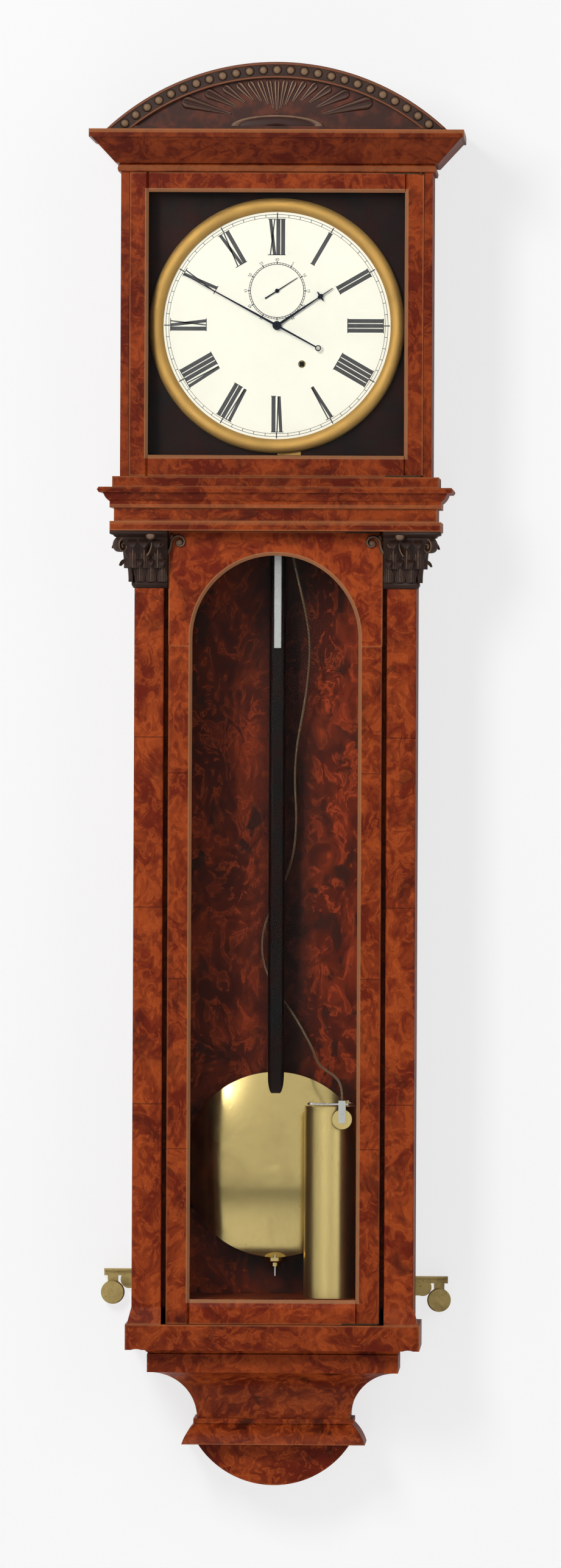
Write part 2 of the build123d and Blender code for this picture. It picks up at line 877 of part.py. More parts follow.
# Hood door: square frame of two stiles and two rails
hood_door_low = hood_low + door_play
hood_door_high = cornice_low - door_play
hood_door_back = hood_door_thickness - hood_depth
hood_open = hood_door_half - hood_stile
hood_open_low = hood_door_low + hood_bottom_rail
hood_open_high = hood_door_high - hood_top_rail


def strap_space(x_out, front, level, into, mode):
    """Brass pivot strap let into the top or bottom edge of a door, or the recess for it."""
    low, high = sorted((level, level - into * strap_thickness))
    slab(x_out - strap_length, x_out, front, front + strap_width, low, high, mode=mode)


with BuildPart() as hood_door_frame:
    for side in (-1, 1):
        with BuildSketch(Plane.XY.offset(hood_door_low)):
            add(stile_face(side, hood_open, hood_door_half, -hood_depth, hood_door_back))
        extrude(amount=hood_door_high - hood_door_low)
    strap_space(hood_door_half, -hood_depth, hood_door_high, 1, Mode.SUBTRACT)
    strap_space(hood_door_half, -hood_depth, hood_door_low, -1, Mode.SUBTRACT)
with BuildPart() as hood_door_rails:
    with BuildSketch(Plane.YZ):
        add(rail_face(hood_door_low, hood_open_low, -hood_depth, hood_door_back, True, sight_bevel))
        add(rail_face(hood_open_high, hood_door_high, -hood_depth, hood_door_back, False, sight_bevel))
    extrude(amount=hood_open, both=True)
    strap_space(hood_door_half, -hood_depth, hood_door_high, 1, Mode.SUBTRACT)
    strap_space(hood_door_half, -hood_depth, hood_door_low, -1, Mode.SUBTRACT)
hood_door_frame.part = Part() + [hood_door_frame.part, hood_door_rails.part]
keep(hood_door_frame, "hood_door_frame")

with BuildPart() as hood_door_glass:
    glass_front = glass_depth - hood_depth
    slab(-hood_open - glass_lap, hood_open + glass_lap, glass_front, glass_front + glass_thickness,
         hood_open_low - glass_lap, hood_open_high + glass_lap)
keep(hood_door_glass, "hood_door_glass")


def door_pivots(x_out, front, low, high, pivot_x, pivot_y, play):
    """Two brass straps, each with a pivot pin, let into the top and bottom edges of a door."""
    with BuildPart() as straps:
        for level, into in ((high, 1), (low, -1)):
            strap_space(x_out, front, level, into, Mode.ADD)
            floor, roof = sorted((level, level - into * strap_thickness))
            slab(pivot_x - 2 * pivot_radius, pivot_x + 2 * pivot_radius, pivot_y, front, floor, roof)
            rod_along_z(pivot_x, pivot_y, 2 * pivot_radius, floor, roof)
            tip = level + into * (play + pivot_length - 1.0)
            floor, roof = sorted((level, tip))
            rod_along_z(pivot_x, pivot_y, pivot_radius, floor, roof)
    return straps


hood_door_pivots = door_pivots(hood_door_half, -hood_depth, hood_door_low, hood_door_high,
                               hood_pivot_x, hood_pivot_y, door_play)
keep(hood_door_pivots, "hood_door_pivots")

# Trunk door: stiles, arched top rail, bottom rail with a broad bevelled sill, and the glass
trunk_door_low = trunk_low + door_play
trunk_door_high = trunk_top - door_play
trunk_open = trunk_door_half - trunk_stile
arch_top = trunk_door_high - trunk_top_rail
arch_spring = arch_top - trunk_open
arch_joint = arch_spring - stile_joint_drop
trunk_open_low = trunk_door_low + trunk_bottom_rail
glass_seat = trunk_door_front + glass_depth


def arch_face(half, low, grow=0.0):
    """Round-headed opening in the XZ plane, from low up to the arch, grown by a margin."""
    with BuildSketch() as face:
        with BuildLine():
            Polyline((-half - grow, arch_spring), (-half - grow, low), (half + grow, low),
                     (half + grow, arch_spring))
            ThreePointArc((half + grow, arch_spring), (0, arch_spring + half + grow),
                          (-half - grow, arch_spring))
        make_face()
    return face.sketch


with BuildPart() as trunk_door_stiles:
    for side in (-1, 1):
        with BuildSketch(Plane.XY.offset(trunk_door_low)):
            add(stile_face(side, trunk_open, trunk_door_half, trunk_door_front, trunk_door_back))
        extrude(amount=arch_joint - trunk_door_low)
    fillet(trunk_door_stiles.edges().filter_by(Axis.Z).group_by(Axis.X)[0].sort_by(Axis.Y)[0:1]
           + trunk_door_stiles.edges().filter_by(Axis.Z).group_by(Axis.X)[-1].sort_by(Axis.Y)[0:1],
           radius=edge_round)
    strap_space(trunk_door_half, trunk_door_front, trunk_door_low, -1, Mode.SUBTRACT)
keep(trunk_door_stiles, "trunk_door_stiles")

with BuildPart() as arched_rail:
    with BuildSketch(Plane.XZ.offset(-trunk_door_back)):
        with Locations((0, (arch_joint + trunk_door_high) / 2)):
            Rectangle(2 * trunk_door_half, trunk_door_high - arch_joint)
        add(arch_face(trunk_open, arch_joint), mode=Mode.SUBTRACT)
    extrude(amount=trunk_door_thickness)
    with BuildSketch(Plane.XZ.offset(-trunk_door_back)):
        add(arch_face(trunk_open, arch_joint, grow=glass_lap))
    extrude(amount=trunk_door_back - glass_seat, mode=Mode.SUBTRACT)
    face_edges = arched_rail.faces().sort_by(Axis.Y)[0].edges()
    sight = face_edges.filter_by(lambda edge: abs(edge.center().X) < trunk_open + 1)
    sight = sight.filter_by(lambda edge: arch_joint + 1 < edge.center().Z < arch_top + 1)
    chamfer(sight, length=sight_bevel)
    strap_space(trunk_door_half, trunk_door_front, trunk_door_high, 1, Mode.SUBTRACT)
with BuildPart() as bottom_rail:
    with BuildSketch(Plane.YZ):
        add(rail_face(trunk_door_low, trunk_open_low, trunk_door_front, trunk_door_back, True, sill_bevel))
    extrude(amount=trunk_open, both=True)
    strap_space(trunk_door_half, trunk_door_front, trunk_door_low, -1, Mode.SUBTRACT)
with BuildPart() as trunk_door_rails:
    add(arched_rail.part)
    add(bottom_rail.part)
keep(trunk_door_rails, "trunk_door_rails")

with BuildPart() as trunk_door_glass:
    with BuildSketch(Plane.XZ.offset(-glass_seat - glass_thickness)):
        add(arch_face(trunk_open, trunk_open_low - glass_lap, grow=glass_lap))
    extrude(amount=glass_thickness)
keep(trunk_door_glass, "trunk_door_glass")

trunk_door_pivots = door_pivots(trunk_door_half, trunk_door_front, trunk_door_low, trunk_door_high,
                                trunk_pivot_x, trunk_pivot_y, door_play)
keep(trunk_door_pivots, "trunk_door_pivots")

# Inner volutes of the capitals, carved in low relief on the top corners of the trunk door
with BuildPart() as trunk_door_volutes:
    volute_top = trunk_door_high - strap_thickness
    volute_side = trunk_door_high - door_volute_drop / 3
    for side in (-1, 1):
        outer = side * trunk_door_half
        inner = side * (trunk_door_half - door_volute_reach)
        eye = side * (trunk_door_half - door_volute_reach * 0.55)
        tail = (outer, trunk_door_high - door_volute_tail)
        with BuildSketch(Plane.XZ.offset(-trunk_door_front)):
            with BuildLine():
                Polyline((outer, volute_top), (inner, volute_top), (inner, volute_side))
                ThreePointArc((inner, volute_side), (eye, trunk_door_high - door_volute_drop * 0.8), tail)
                Line(tail, (outer, volute_top))
            make_face()
        extrude(amount=door_volute_relief)
keep(trunk_door_volutes, "trunk_door_volutes")

# Dark mask board behind the dial, dial plate with its feet, and the bezel
with BuildPart() as dial_mask:
    slab(-hood_inner, hood_inner, mask_front, mask_back, hood_low, cornice_low)
    rod_along_y(0, dial_z, 2 * hour_pipe_radius, mask_front, mask_back, mode=Mode.SUBTRACT)
    rod_along_y(0, seconds_z, 2 * seconds_arbor_radius, mask_front, mask_back, mode=Mode.SUBTRACT)
    rod_along_y(winding_right, winding_z, barrel_arbor + winding_play, mask_front, mask_back,
                mode=Mode.SUBTRACT)
keep(dial_mask, "dial_mask")

dial_radius = bezel_radius - bezel_band + dial_under_bezel
with BuildPart() as dial:
    rod_along_y(0, dial_z, dial_radius, dial_front, dial_back)
    for turn in (45, 135, 225, 315):
        rod_along_y(dial_foot_circle * cos(radians(turn)), dial_z + dial_foot_circle * sin(radians(turn)),
                    dial_foot_radius, dial_back, mask_front)
    rod_along_y(0, dial_z, hour_pipe_radius + pipe_play, dial_front, dial_back, mode=Mode.SUBTRACT)
    rod_along_y(0, seconds_z, seconds_arbor_radius + seconds_play, dial_front, dial_back,
                mode=Mode.SUBTRACT)
    rod_along_y(winding_right, winding_z, winding_hole, dial_front, dial_back, mode=Mode.SUBTRACT)
keep(dial, "dial")

with BuildPart() as dial_bezel:
    seat = dial_z + dial_radius + running_fit
    sight = dial_z + bezel_radius - bezel_band
    rim = dial_z + bezel_radius
    with BuildSketch(Plane.YZ):
        with BuildLine():
            Polyline((mask_front, seat), (mask_front, rim), (mask_front - bezel_flat, rim))
            ThreePointArc((mask_front - bezel_flat, rim), (mask_front - bezel_depth, (rim + sight) / 2),
                          (dial_front - bezel_lip, sight))
            Polyline((dial_front - bezel_lip, sight), (dial_front, sight), (dial_front, seat),
                     (mask_front, seat))
        make_face()
    revolve(axis=Axis((0, 0, dial_z), (0, 1, 0)))
    slab(bezel_tab_low, bezel_tab_high, mask_front - bezel_flat, mask_front,
         dial_z - bezel_radius - bezel_tab_drop, dial_z - bezel_radius + bezel_band / 2)
keep(dial_bezel, "dial_bezel")


# Arbor places seen from the front, and planes of the wheels behind the front plate
between = seconds_above_centre
third_up = (centre_to_third**2 - third_to_escape**2 + between**2) / (2 * between)
third_x = -sqrt(centre_to_third**2 - third_up**2)
third_z = dial_z + third_up
great_distance = hypot(winding_right, winding_below)
motion_x = -motion_distance * cos(radians(45))
motion_z = dial_z - motion_distance * sin(radians(45))
plates_inside = front_plate_y + plate_thickness
great_y = back_plate_y - 3 * wheel_thickness
centre_wheel_y = great_y - 3.5 * wheel_thickness
third_wheel_y = centre_wheel_y - 5 * wheel_thickness
escape_wheel_y = third_wheel_y - 4.5 * wheel_thickness
motion_y = front_plate_y - wheel_thickness - motion_gap
hour_wheel_y = motion_y - wheel_thickness - hour_wheel_gap
towards_escape = degrees(atan2(seconds_z - third_z, -third_x))


def pitch_radius(teeth, mate, distance):
    """Pitch radius of a wheel that meshes with its mate at a centre distance."""
    return distance * teeth / (teeth + mate)


def toothed_face(teeth, mate, distance, lean):
    """Wheel outline with thin straight-sided teeth; lean is where one tooth points, in degrees."""
    radius = pitch_radius(teeth, mate, distance)
    module = 2 * radius / teeth
    step = 360 / teeth
    points = []
    for index in range(teeth):
        middle = lean + index * step
        for reach, share in ((-tooth_root, -tooth_root_half), (tooth_tip, -tooth_tip_half),
                             (tooth_tip, tooth_tip_half), (-tooth_root, tooth_root_half)):
            turn = radians(middle + share * step)
            points.append(((radius + reach * module) * cos(turn), (radius + reach * module) * sin(turn)))
    with BuildSketch() as face:
        Polygon(*points, align=None)
    return face.sketch


def wheel(x, z, y_front, thickness, teeth, mate, distance, lean):
    """Toothed wheel in the current piece, its front face at y_front."""
    with BuildSketch(Plane.XZ.offset(-y_front - thickness)) as face:
        with Locations((x, z)):
            add(toothed_face(teeth, mate, distance, lean))
    extrude(face.sketch, amount=thickness)


def crossings(x, z, y_front, thickness, inner, outer, arms):
    """Open spaces between the arms of a wheel."""
    with BuildSketch(Plane.XZ.offset(-y_front - thickness)) as face:
        with Locations((x, z)):
            Circle(outer)
            Circle(inner, mode=Mode.SUBTRACT)
            for index in range(arms):
                Rectangle(2 * outer, arm_share * outer, rotation=index * 180 / arms,
                          mode=Mode.SUBTRACT)
    extrude(face.sketch, amount=thickness, mode=Mode.SUBTRACT)


# Movement plates: the back plate carries the pillars and the suspension cock
corners = []
for pillar_x in (-plate_half + pillar_inset, plate_half - pillar_inset):
    for pillar_z in (dial_z + plate_above - pillar_inset, dial_z - plate_below + pillar_inset):
        corners.append((pillar_x, pillar_z))
arbors = ((0, dial_z, arbor_radius), (third_x, third_z, arbor_radius), (0, seconds_z, arbor_radius),
          (0, pallet_z, arbor_radius), (winding_right, winding_z, barrel_arbor))

cock_z = pallet_z + suspension_drop
with BuildPart() as back_plate:
    slab(-cock_half, cock_half, plate_back, -pendulum_back + rod_thickness / 2, cock_z,
         cock_z + cock_height)
    slab(-cock_half, cock_half, plate_back, plate_back + plate_thickness, cock_z, cock_z + 2 * cock_height)
    slab(-plate_half, plate_half, back_plate_y, plate_back, dial_z - plate_below, dial_z + plate_above)
    for x, z in corners:
        rod_along_y(x, z, pillar_radius, plates_inside, back_plate_y)
    for x, z, radius in arbors:
        rod_along_y(x, z, radius + running_fit, back_plate_y, plate_back, mode=Mode.SUBTRACT)
keep(back_plate, "back_plate")

with BuildPart() as front_plate:
    slab(-plate_half, plate_half, front_plate_y, plates_inside, dial_z - plate_below, dial_z + plate_above)
    for x, z, radius in arbors:
        rod_along_y(x, z, radius + running_fit, front_plate_y, plates_inside, mode=Mode.SUBTRACT)
    rod_along_y(motion_x, motion_z, stud_radius, hour_wheel_y - arbor_end, front_plate_y)
    for x, z in corners:
        rod_along_y(x, z, pillar_radius, mask_back, front_plate_y)
keep(front_plate, "front_plate")

with BuildPart() as seat_board:
    seat_top = dial_z - plate_below
    slab(-hood_inner, hood_inner, mask_back, -seat_back_gap, seat_top - seat_thickness, seat_top)
    slab(line_left - line_slot_half, line_left + line_slot_half, barrel_y - line_slot_half,
         barrel_y + line_slot_half, seat_top - seat_thickness, seat_top, mode=Mode.SUBTRACT)
keep(seat_board, "seat_board")

# Great wheel and the barrel on its winding arbor
great_turn = degrees(atan2(winding_below, -winding_right))
with BuildPart() as great_wheel:
    wheel(winding_right, winding_z, great_y, wheel_thickness, great_teeth, pinion_teeth, great_distance,
          great_turn)
    crossings(winding_right, winding_z, great_y, wheel_thickness, great_hub, great_rim, great_arms)
    rod_along_y(winding_right, winding_z, barrel_arbor + running_fit, great_y, great_y + wheel_thickness,
                mode=Mode.SUBTRACT)
keep(great_wheel, "great_wheel")

with BuildPart() as barrel:
    rod_along_y(winding_right, winding_z, barrel_arbor, mask_back, plate_back)
    rod_along_y(winding_right, winding_z, barrel_radius, barrel_y - barrel_length / 2,
                barrel_y + barrel_length / 2)
    for end in (barrel_y - barrel_length / 2, barrel_y + barrel_length / 2 - barrel_rim):
        rod_along_y(winding_right, winding_z, barrel_flange, end, end + barrel_rim)
    with BuildSketch(Plane.XZ.offset(-mask_back)):
        with Locations((winding_right, winding_z)):
            Rectangle(winding_square, winding_square)
    extrude(amount=mask_back - dial_front + winding_end)
keep(barrel, "barrel")

# Centre arbor with its pinion, wheel and cannon pinion
towards_great = great_turn - 180
towards_third = degrees(atan2(third_up, third_x))
with BuildPart() as centre_wheel:
    rod_along_y(0, dial_z, arbor_radius, front_plate_y, plate_back)
    wheel(0, dial_z, great_y - pinion_lead, pinion_length, pinion_teeth, great_teeth, great_distance,
          towards_great + 180 / pinion_teeth)
    wheel(0, dial_z, centre_wheel_y, wheel_thickness, centre_teeth, pinion_teeth, centre_to_third,
          towards_third)
    wheel(0, dial_z, motion_y, wheel_thickness, cannon_teeth, minute_wheel_teeth, motion_distance, 225)
    rod_along_y(0, dial_z, cannon_radius, minute_hand_y - arbor_end, front_plate_y)
keep(centre_wheel, "centre_wheel")

with BuildPart() as third_wheel:
    rod_along_y(third_x, third_z, arbor_radius, front_plate_y, plate_back)
    wheel(third_x, third_z, centre_wheel_y - pinion_lead, pinion_length, pinion_teeth, centre_teeth,
          centre_to_third, towards_third + 180 + 180 / pinion_teeth)
    wheel(third_x, third_z, third_wheel_y, wheel_thickness, third_teeth, pinion_teeth, third_to_escape,
          towards_escape)
keep(third_wheel, "third_wheel")


def escape_face():
    """Pointed teeth that lean forward, round a plain rim."""
    root = escape_radius - escape_tooth_depth
    points = []
    for index in range(escape_teeth):
        base = index * 360 / escape_teeth
        for radius, back in ((root, escape_tooth_back), (escape_radius, escape_tooth_point), (root, 0)):
            turn = radians(base - back)
            points.append((radius * cos(turn), radius * sin(turn)))
    with BuildSketch() as face:
        Polygon(*points, align=None)
    return face.sketch


with BuildPart() as escape_wheel:
    rod_along_y(0, seconds_z, arbor_radius, front_plate_y, plate_back)
    rod_along_y(0, seconds_z, seconds_arbor_radius, seconds_hand_y - seconds_arbor_end, front_plate_y)
    wheel(0, seconds_z, third_wheel_y - pinion_lead, pinion_length, pinion_teeth, third_teeth,
          third_to_escape, towards_escape + 180 + 180 / pinion_teeth)
    with BuildSketch(Plane.XZ.offset(-escape_wheel_y - wheel_thickness)):
        with Locations((0, seconds_z)):
            add(escape_face())
    extrude(amount=wheel_thickness)
    crossings(0, seconds_z, escape_wheel_y, wheel_thickness, escape_hub, escape_rim, escape_arms)
keep(escape_wheel, "escape_wheel")

# Anchor with its pallets, and the crutch that drives the pendulum
with BuildPart() as pallets:
    rod_along_y(0, pallet_z, arbor_radius, front_plate_y, crutch_y + wheel_thickness)
    pallet_low = -anchor_fall - pallet_drop
    with BuildSketch(Plane.XZ.offset(-escape_wheel_y - wheel_thickness)):
        with Locations((0, pallet_z)):
            Circle(3 * arbor_radius)
            for side in (-1, 1):
                Polygon(
                    (0, anchor_web - 1),
                    (side * anchor_web, anchor_web),
                    (side * anchor_half, -anchor_fall),
                    (side * anchor_half, pallet_low),
                    (side * (anchor_half - pallet_width), pallet_low),
                    (side * (anchor_half - anchor_web), -anchor_fall - 1),
                    (0, -anchor_web),
                    align=None,
                )
    extrude(amount=wheel_thickness)
    slab(-crutch_half, crutch_half, crutch_y, crutch_y + wheel_thickness, pallet_z - crutch_length,
         pallet_z + crutch_top)
    rod_along_y(0, pallet_z - crutch_length, crutch_pin, crutch_y, -pendulum_back)
keep(pallets, "pallets")

# Motion work under the dial
with BuildPart() as minute_wheel:
    wheel(motion_x, motion_z, motion_y, wheel_thickness, minute_wheel_teeth, cannon_teeth, motion_distance,
          45 + 180 / minute_wheel_teeth)
    wheel(motion_x, motion_z, hour_wheel_y, motion_y - hour_wheel_y, minute_pinion_teeth, hour_wheel_teeth,
          motion_distance, 45)
    rod_along_y(motion_x, motion_z, stud_radius + running_fit, hour_wheel_y, motion_y + wheel_thickness,
                mode=Mode.SUBTRACT)
keep(minute_wheel, "minute_wheel")

with BuildPart() as hour_wheel:
    wheel(0, dial_z, hour_wheel_y, wheel_thickness, hour_wheel_teeth, minute_pinion_teeth, motion_distance,
          225 + 180 / hour_wheel_teeth)
    rod_along_y(0, dial_z, hour_pipe_radius, hour_hand_y - pipe_end, hour_wheel_y)
    rod_along_y(0, dial_z, cannon_radius + running_fit, hour_hand_y - pipe_end,
                hour_wheel_y + wheel_thickness, mode=Mode.SUBTRACT)
keep(hour_wheel, "hour_wheel")


def hand_plane(y_front):
    """Plane of the back of a hand, seen from the front."""
    return Plane.XZ.offset(-y_front - hand_thickness)


def taper(halves, low, high):
    """Straight-sided blade along Y, with a half width at each end."""
    Polygon((-halves[0], low), (-halves[1], high), (halves[1], high), (halves[0], low), align=None)


# Slender hands: each is drawn pointing up and turned to its place
tail_top = 2 * tail_ring - minute_hand_tail - tail_overlap
with BuildPart() as minute_hand:
    with BuildSketch(hand_plane(minute_hand_y)):
        with Locations(Location((0, dial_z, 0), (0, 0, -minute_hand_turn))):
            taper(minute_halves, 0, minute_hand_length)
            taper(minute_tail_halves, 0, tail_top)
            with Locations((0, tail_ring - minute_hand_tail)):
                Circle(tail_ring)
                Circle(tail_ring - tail_ring_width, mode=Mode.SUBTRACT)
        with Locations((0, dial_z)):
            Circle(hand_boss)
            Circle(cannon_radius, mode=Mode.SUBTRACT)
    extrude(amount=hand_thickness)
keep(minute_hand, "minute_hand")

with BuildPart() as hour_hand:
    with BuildSketch(hand_plane(hour_hand_y)):
        with Locations(Location((0, dial_z, 0), (0, 0, -hour_hand_turn))):
            taper(hour_halves, 0, hour_hand_length)
            with Locations((0, hour_hand_cross)):
                Ellipse(cross_half, cross_thickness)
                Ellipse(*cross_knot)
        with Locations((0, dial_z)):
            Circle(hour_boss)
            Circle(hour_pipe_radius, mode=Mode.SUBTRACT)
    extrude(amount=hand_thickness)
keep(hour_hand, "hour_hand")

with BuildPart() as seconds_hand:
    with BuildSketch(hand_plane(seconds_hand_y)):
        with Locations(Location((0, seconds_z, 0), (0, 0, -seconds_hand_turn))):
            taper(seconds_halves, -seconds_hand_tail, seconds_hand_length)
        with Locations((0, seconds_z)):
            Circle(seconds_boss)
            Circle(seconds_arbor_radius, mode=Mode.SUBTRACT)
    extrude(amount=hand_thickness)
keep(seconds_hand, "seconds_hand")

# Pendulum: suspension spring, steel work, wooden rod, lens-shaped bob and rating nut
rod_top = pallet_z - suspension_drop - clamp_height
with BuildPart() as suspension_spring:
    slab(-spring_thickness / 2, spring_thickness / 2, -pendulum_back - spring_half,
         spring_half - pendulum_back, pallet_z - suspension_drop, cock_z)
keep(suspension_spring, "suspension_spring")

rod_front = -pendulum_back - rod_thickness / 2
rod_back = -pendulum_back + rod_thickness / 2
rod_low = bob_z + rod_end_above_centre


def rod_solid(low, high, mode=Mode.ADD):
    """Length of the pendulum rod, with its rounded edges, or the slot it fills."""
    with BuildSketch(Plane.XY.offset(low)) as face:
        with Locations((0, -pendulum_back)):
            RectangleRounded(rod_width, rod_thickness, rod_round)
    extrude(face.sketch, amount=high - low, mode=mode)


with BuildPart() as pendulum_rod:
    rod_solid(rod_low, rod_top)
    rod_along_y(0, pallet_z - crutch_length, crutch_pin + pin_play, rod_front, rod_back,
                mode=Mode.SUBTRACT)
keep(pendulum_rod, "pendulum_rod")

screw_low = bob_z - bob_radius - rating_nut_height - rating_tip
with BuildPart() as pendulum_steelwork:
    steel_front = rod_front - strap_steel_thickness
    slab(-strap_steel_width / 2, strap_steel_width / 2, steel_front, rod_front,
         pallet_z - strap_steel_end, rod_top)
    slab(-rod_width / 2, rod_width / 2, steel_front, rod_back, rod_top, pallet_z - suspension_drop)
    rod_along_y(0, pallet_z - crutch_length, crutch_pin + pin_play, steel_front, rod_front,
                mode=Mode.SUBTRACT)
    rod_along_z(0, -pendulum_back, rating_screw_radius, screw_low, rod_low)
keep(pendulum_steelwork, "pendulum_steelwork")

bob_swell = (bob_thickness - bob_rim) / 2
bob_sphere = (bob_radius**2 + bob_swell**2) / (2 * bob_swell)
bob_front = -pendulum_back - bob_thickness / 2
with BuildPart() as bob:
    rod_along_y(0, bob_z, bob_radius, bob_front, bob_front + bob_thickness)
    for sign in (-1, 1):
        with Locations((0, -pendulum_back + sign * (bob_sphere - bob_thickness / 2), bob_z)):
            Sphere(bob_sphere, rotation=(90, 0, 0), mode=Mode.INTERSECT)
    rod_solid(rod_low, bob_z + bob_radius, mode=Mode.SUBTRACT)
    rod_along_z(0, -pendulum_back, rating_screw_radius + pin_play, bob_z - bob_radius, rod_low,
                mode=Mode.SUBTRACT)
keep(bob, "bob")

nut_top = bob_z - bob_radius - running_fit
nut_middle = nut_top - rating_nut_height
nut_low = nut_middle - rating_nut_height
with BuildPart() as rating_nut:
    rod_along_z(0, -pendulum_back, rating_nut_radius, nut_middle, nut_top)
    rod_along_z(0, -pendulum_back, rating_nut_radius / 2, nut_low, nut_middle)
    chamfer(rating_nut.edges().filter_by(GeomType.CIRCLE).sort_by(Axis.Z)[1:3], length=nut_chamfer)
    rod_along_z(0, -pendulum_back, rating_screw_radius + running_fit, nut_low, nut_top,
                mode=Mode.SUBTRACT)
keep(rating_nut, "rating_nut")


def ring_along_x(x, y, z, length, radius, mode):
    """Round rod or hole along X, centred on a point."""
    with BuildSketch(Plane.YZ.offset(x - length / 2)) as face:
        with Locations((y, z)):
            Circle(radius)
    extrude(face.sketch, amount=length, mode=mode)


# Driving weight standing on the floor, with the posts for its bail
weight_low = floor_top + weight_rest
weight_high = weight_low + weight_height
bail_z = weight_high + bail_lift
weight_y = bob_front - weight_bob_gap - weight_radius
groove_top = weight_high - cap_height
with BuildPart() as weight:
    rod_along_z(weight_right, weight_y, weight_radius, weight_low, weight_high)
    rod_along_z(weight_right, weight_y, weight_radius + groove, groove_top - groove, groove_top,
                mode=Mode.SUBTRACT)
    rod_along_z(weight_right, weight_y, weight_radius - groove, groove_top - groove, groove_top)
    for side in (-1, 1):
        post_x = weight_right + side * (bail_half - bail_post_in)
        slab(post_x - bail_post / 2, post_x + bail_post / 2, weight_y - bail_post, weight_y + bail_post,
             weight_high, bail_z + bail_post)
        ring_along_x(post_x, weight_y, bail_z, 2 * bail_post, bail_radius + running_fit, Mode.SUBTRACT)
keep(weight, "weight")

# Wire bail, fallen forward over the rim of the weight, with the pulley hanging from its front bar
bail_front = weight_y - bail_reach
bail_left = weight_right - bail_half
bail_right = weight_right + bail_half
with BuildPart() as weight_bail:
    with BuildLine() as bail_path:
        FilletPolyline(
            (bail_left + bail_end, weight_y, bail_z),
            (bail_left, weight_y, bail_z),
            (bail_left, bail_front, bail_z),
            (bail_right, bail_front, bail_z),
            (bail_right, weight_y, bail_z),
            (bail_right - bail_end, weight_y, bail_z),
            radius=[bail_end_corner, bail_corner, bail_corner, bail_end_corner],
        )
    with BuildSketch(Plane.YZ.offset(bail_left + bail_end)):
        with Locations((weight_y, bail_z)):
            Circle(bail_radius)
    sweep(path=bail_path.wire())
keep(weight_bail, "weight_bail")

pulley_x = weight_right + pulley_right
pulley_z = bail_z - pulley_drop
pulley_front = bail_front - pulley_width / 2
slot_half = pulley_width / 2 + pulley_side_gap
stirrup_outer = slot_half + stirrup_thickness
with BuildPart() as pulley_stirrup:
    slab(pulley_x - stirrup_half, pulley_x + stirrup_half, bail_front - stirrup_outer,
         bail_front + stirrup_outer, pulley_z - stirrup_half, bail_z + stirrup_half)
    slab(pulley_x - 2 * stirrup_half, pulley_x + 2 * stirrup_half, bail_front - slot_half,
         bail_front + slot_half, pulley_z - stirrup_half, pulley_z + pulley_radius + pulley_top_gap,
         mode=Mode.SUBTRACT)
    rod_along_y(pulley_x, pulley_z, pulley_pin, bail_front - stirrup_outer, bail_front + stirrup_outer)
    ring_along_x(pulley_x, bail_front, bail_z, 2 * stirrup_half, bail_radius + running_fit, Mode.SUBTRACT)
keep(pulley_stirrup, "pulley_stirrup")

with BuildPart() as pulley_wheel:
    rod_along_y(pulley_x, pulley_z, pulley_radius, pulley_front, pulley_front + pulley_width)
    with BuildSketch(Plane.XY.offset(pulley_z)):
        with Locations((pulley_x + pulley_radius, bail_front)):
            Circle(pulley_width / 2 - pulley_lip)
    revolve(axis=Axis((pulley_x, bail_front, pulley_z), (0, 1, 0)), mode=Mode.SUBTRACT)
    rod_along_y(pulley_x, pulley_z, pulley_pin + running_fit, pulley_front, pulley_front + pulley_width,
                mode=Mode.SUBTRACT)
keep(pulley_wheel, "pulley_wheel")

pulley_ahead = -bail_front - pendulum_back

# Slack weight line: from the barrel, behind the pendulum rod and forward again to the pulley.
# Each point is (x, distance in front of the pendulum's plane, z).
line_route = (
    (line_left, 55, winding_z),
    (line_left + 0.8, 55, winding_z - 48),
    (line_left + 1.6, 54.5, winding_z - 98),
    (9, 53, -352),
    (14, 52, -398),
    (23, 49, -440),
    (32, 35, -478),
    (37, 15, -512),
    (35, -3, -548),
    (29, -14, -590),
    (21, -18, -630),
    (19, -17, -670),
    (22, -18, -715),
    (18, -19, -757),
    (3, -18, -795),
    (-12, -19, -824),
    (-18, -18, -856),
    (-12, -17, -886),
    (4, -17, -912),
    (21, -15, -935),
    (34, -8, -958),
    (41, 9, -970),
    (45, 30, -979),
    (50, 49, -987),
    (58, 65, -993),
    (67.5, 78, -998),
    (74.4, 85.6, bail_z + 23.4),
    (pulley_x, pulley_ahead, bail_z + 13.1),
    (pulley_x, pulley_ahead, bail_z + stirrup_half),
)
line_points = [(x, -pendulum_back - ahead, z) for x, ahead, z in line_route]


def corner_radii(points, share):
    """Largest tangent radius at each inner point: a share of the shorter run over tan(half turn)."""
    radii = []
    for before, here, after in zip(points, points[1:], points[2:]):
        into = Vector(*here) - Vector(*before)
        away = Vector(*after) - Vector(*here)
        turn = radians(into.get_angle(away))
        radii.append(share * min(into.length, away.length) / tan(turn / 2))
    return radii


line_radii = corner_radii(line_points, 0.45)
print("line radii", [round(radius, 1) for radius in line_radii])
with BuildPart() as weight_line:
    with BuildLine() as line_path:
        FilletPolyline(*line_points, radius=line_radii)
    with BuildSketch(Plane(line_points[0], z_dir=line_path.wire() % 0)):
        Circle(line_radius)
    sweep(path=line_path.wire())
line_length = line_path.wire().length
print("line volume", weight_line.part.volume, "against", pi * line_radius**2 * line_length)
keep(weight_line, "weight_line")

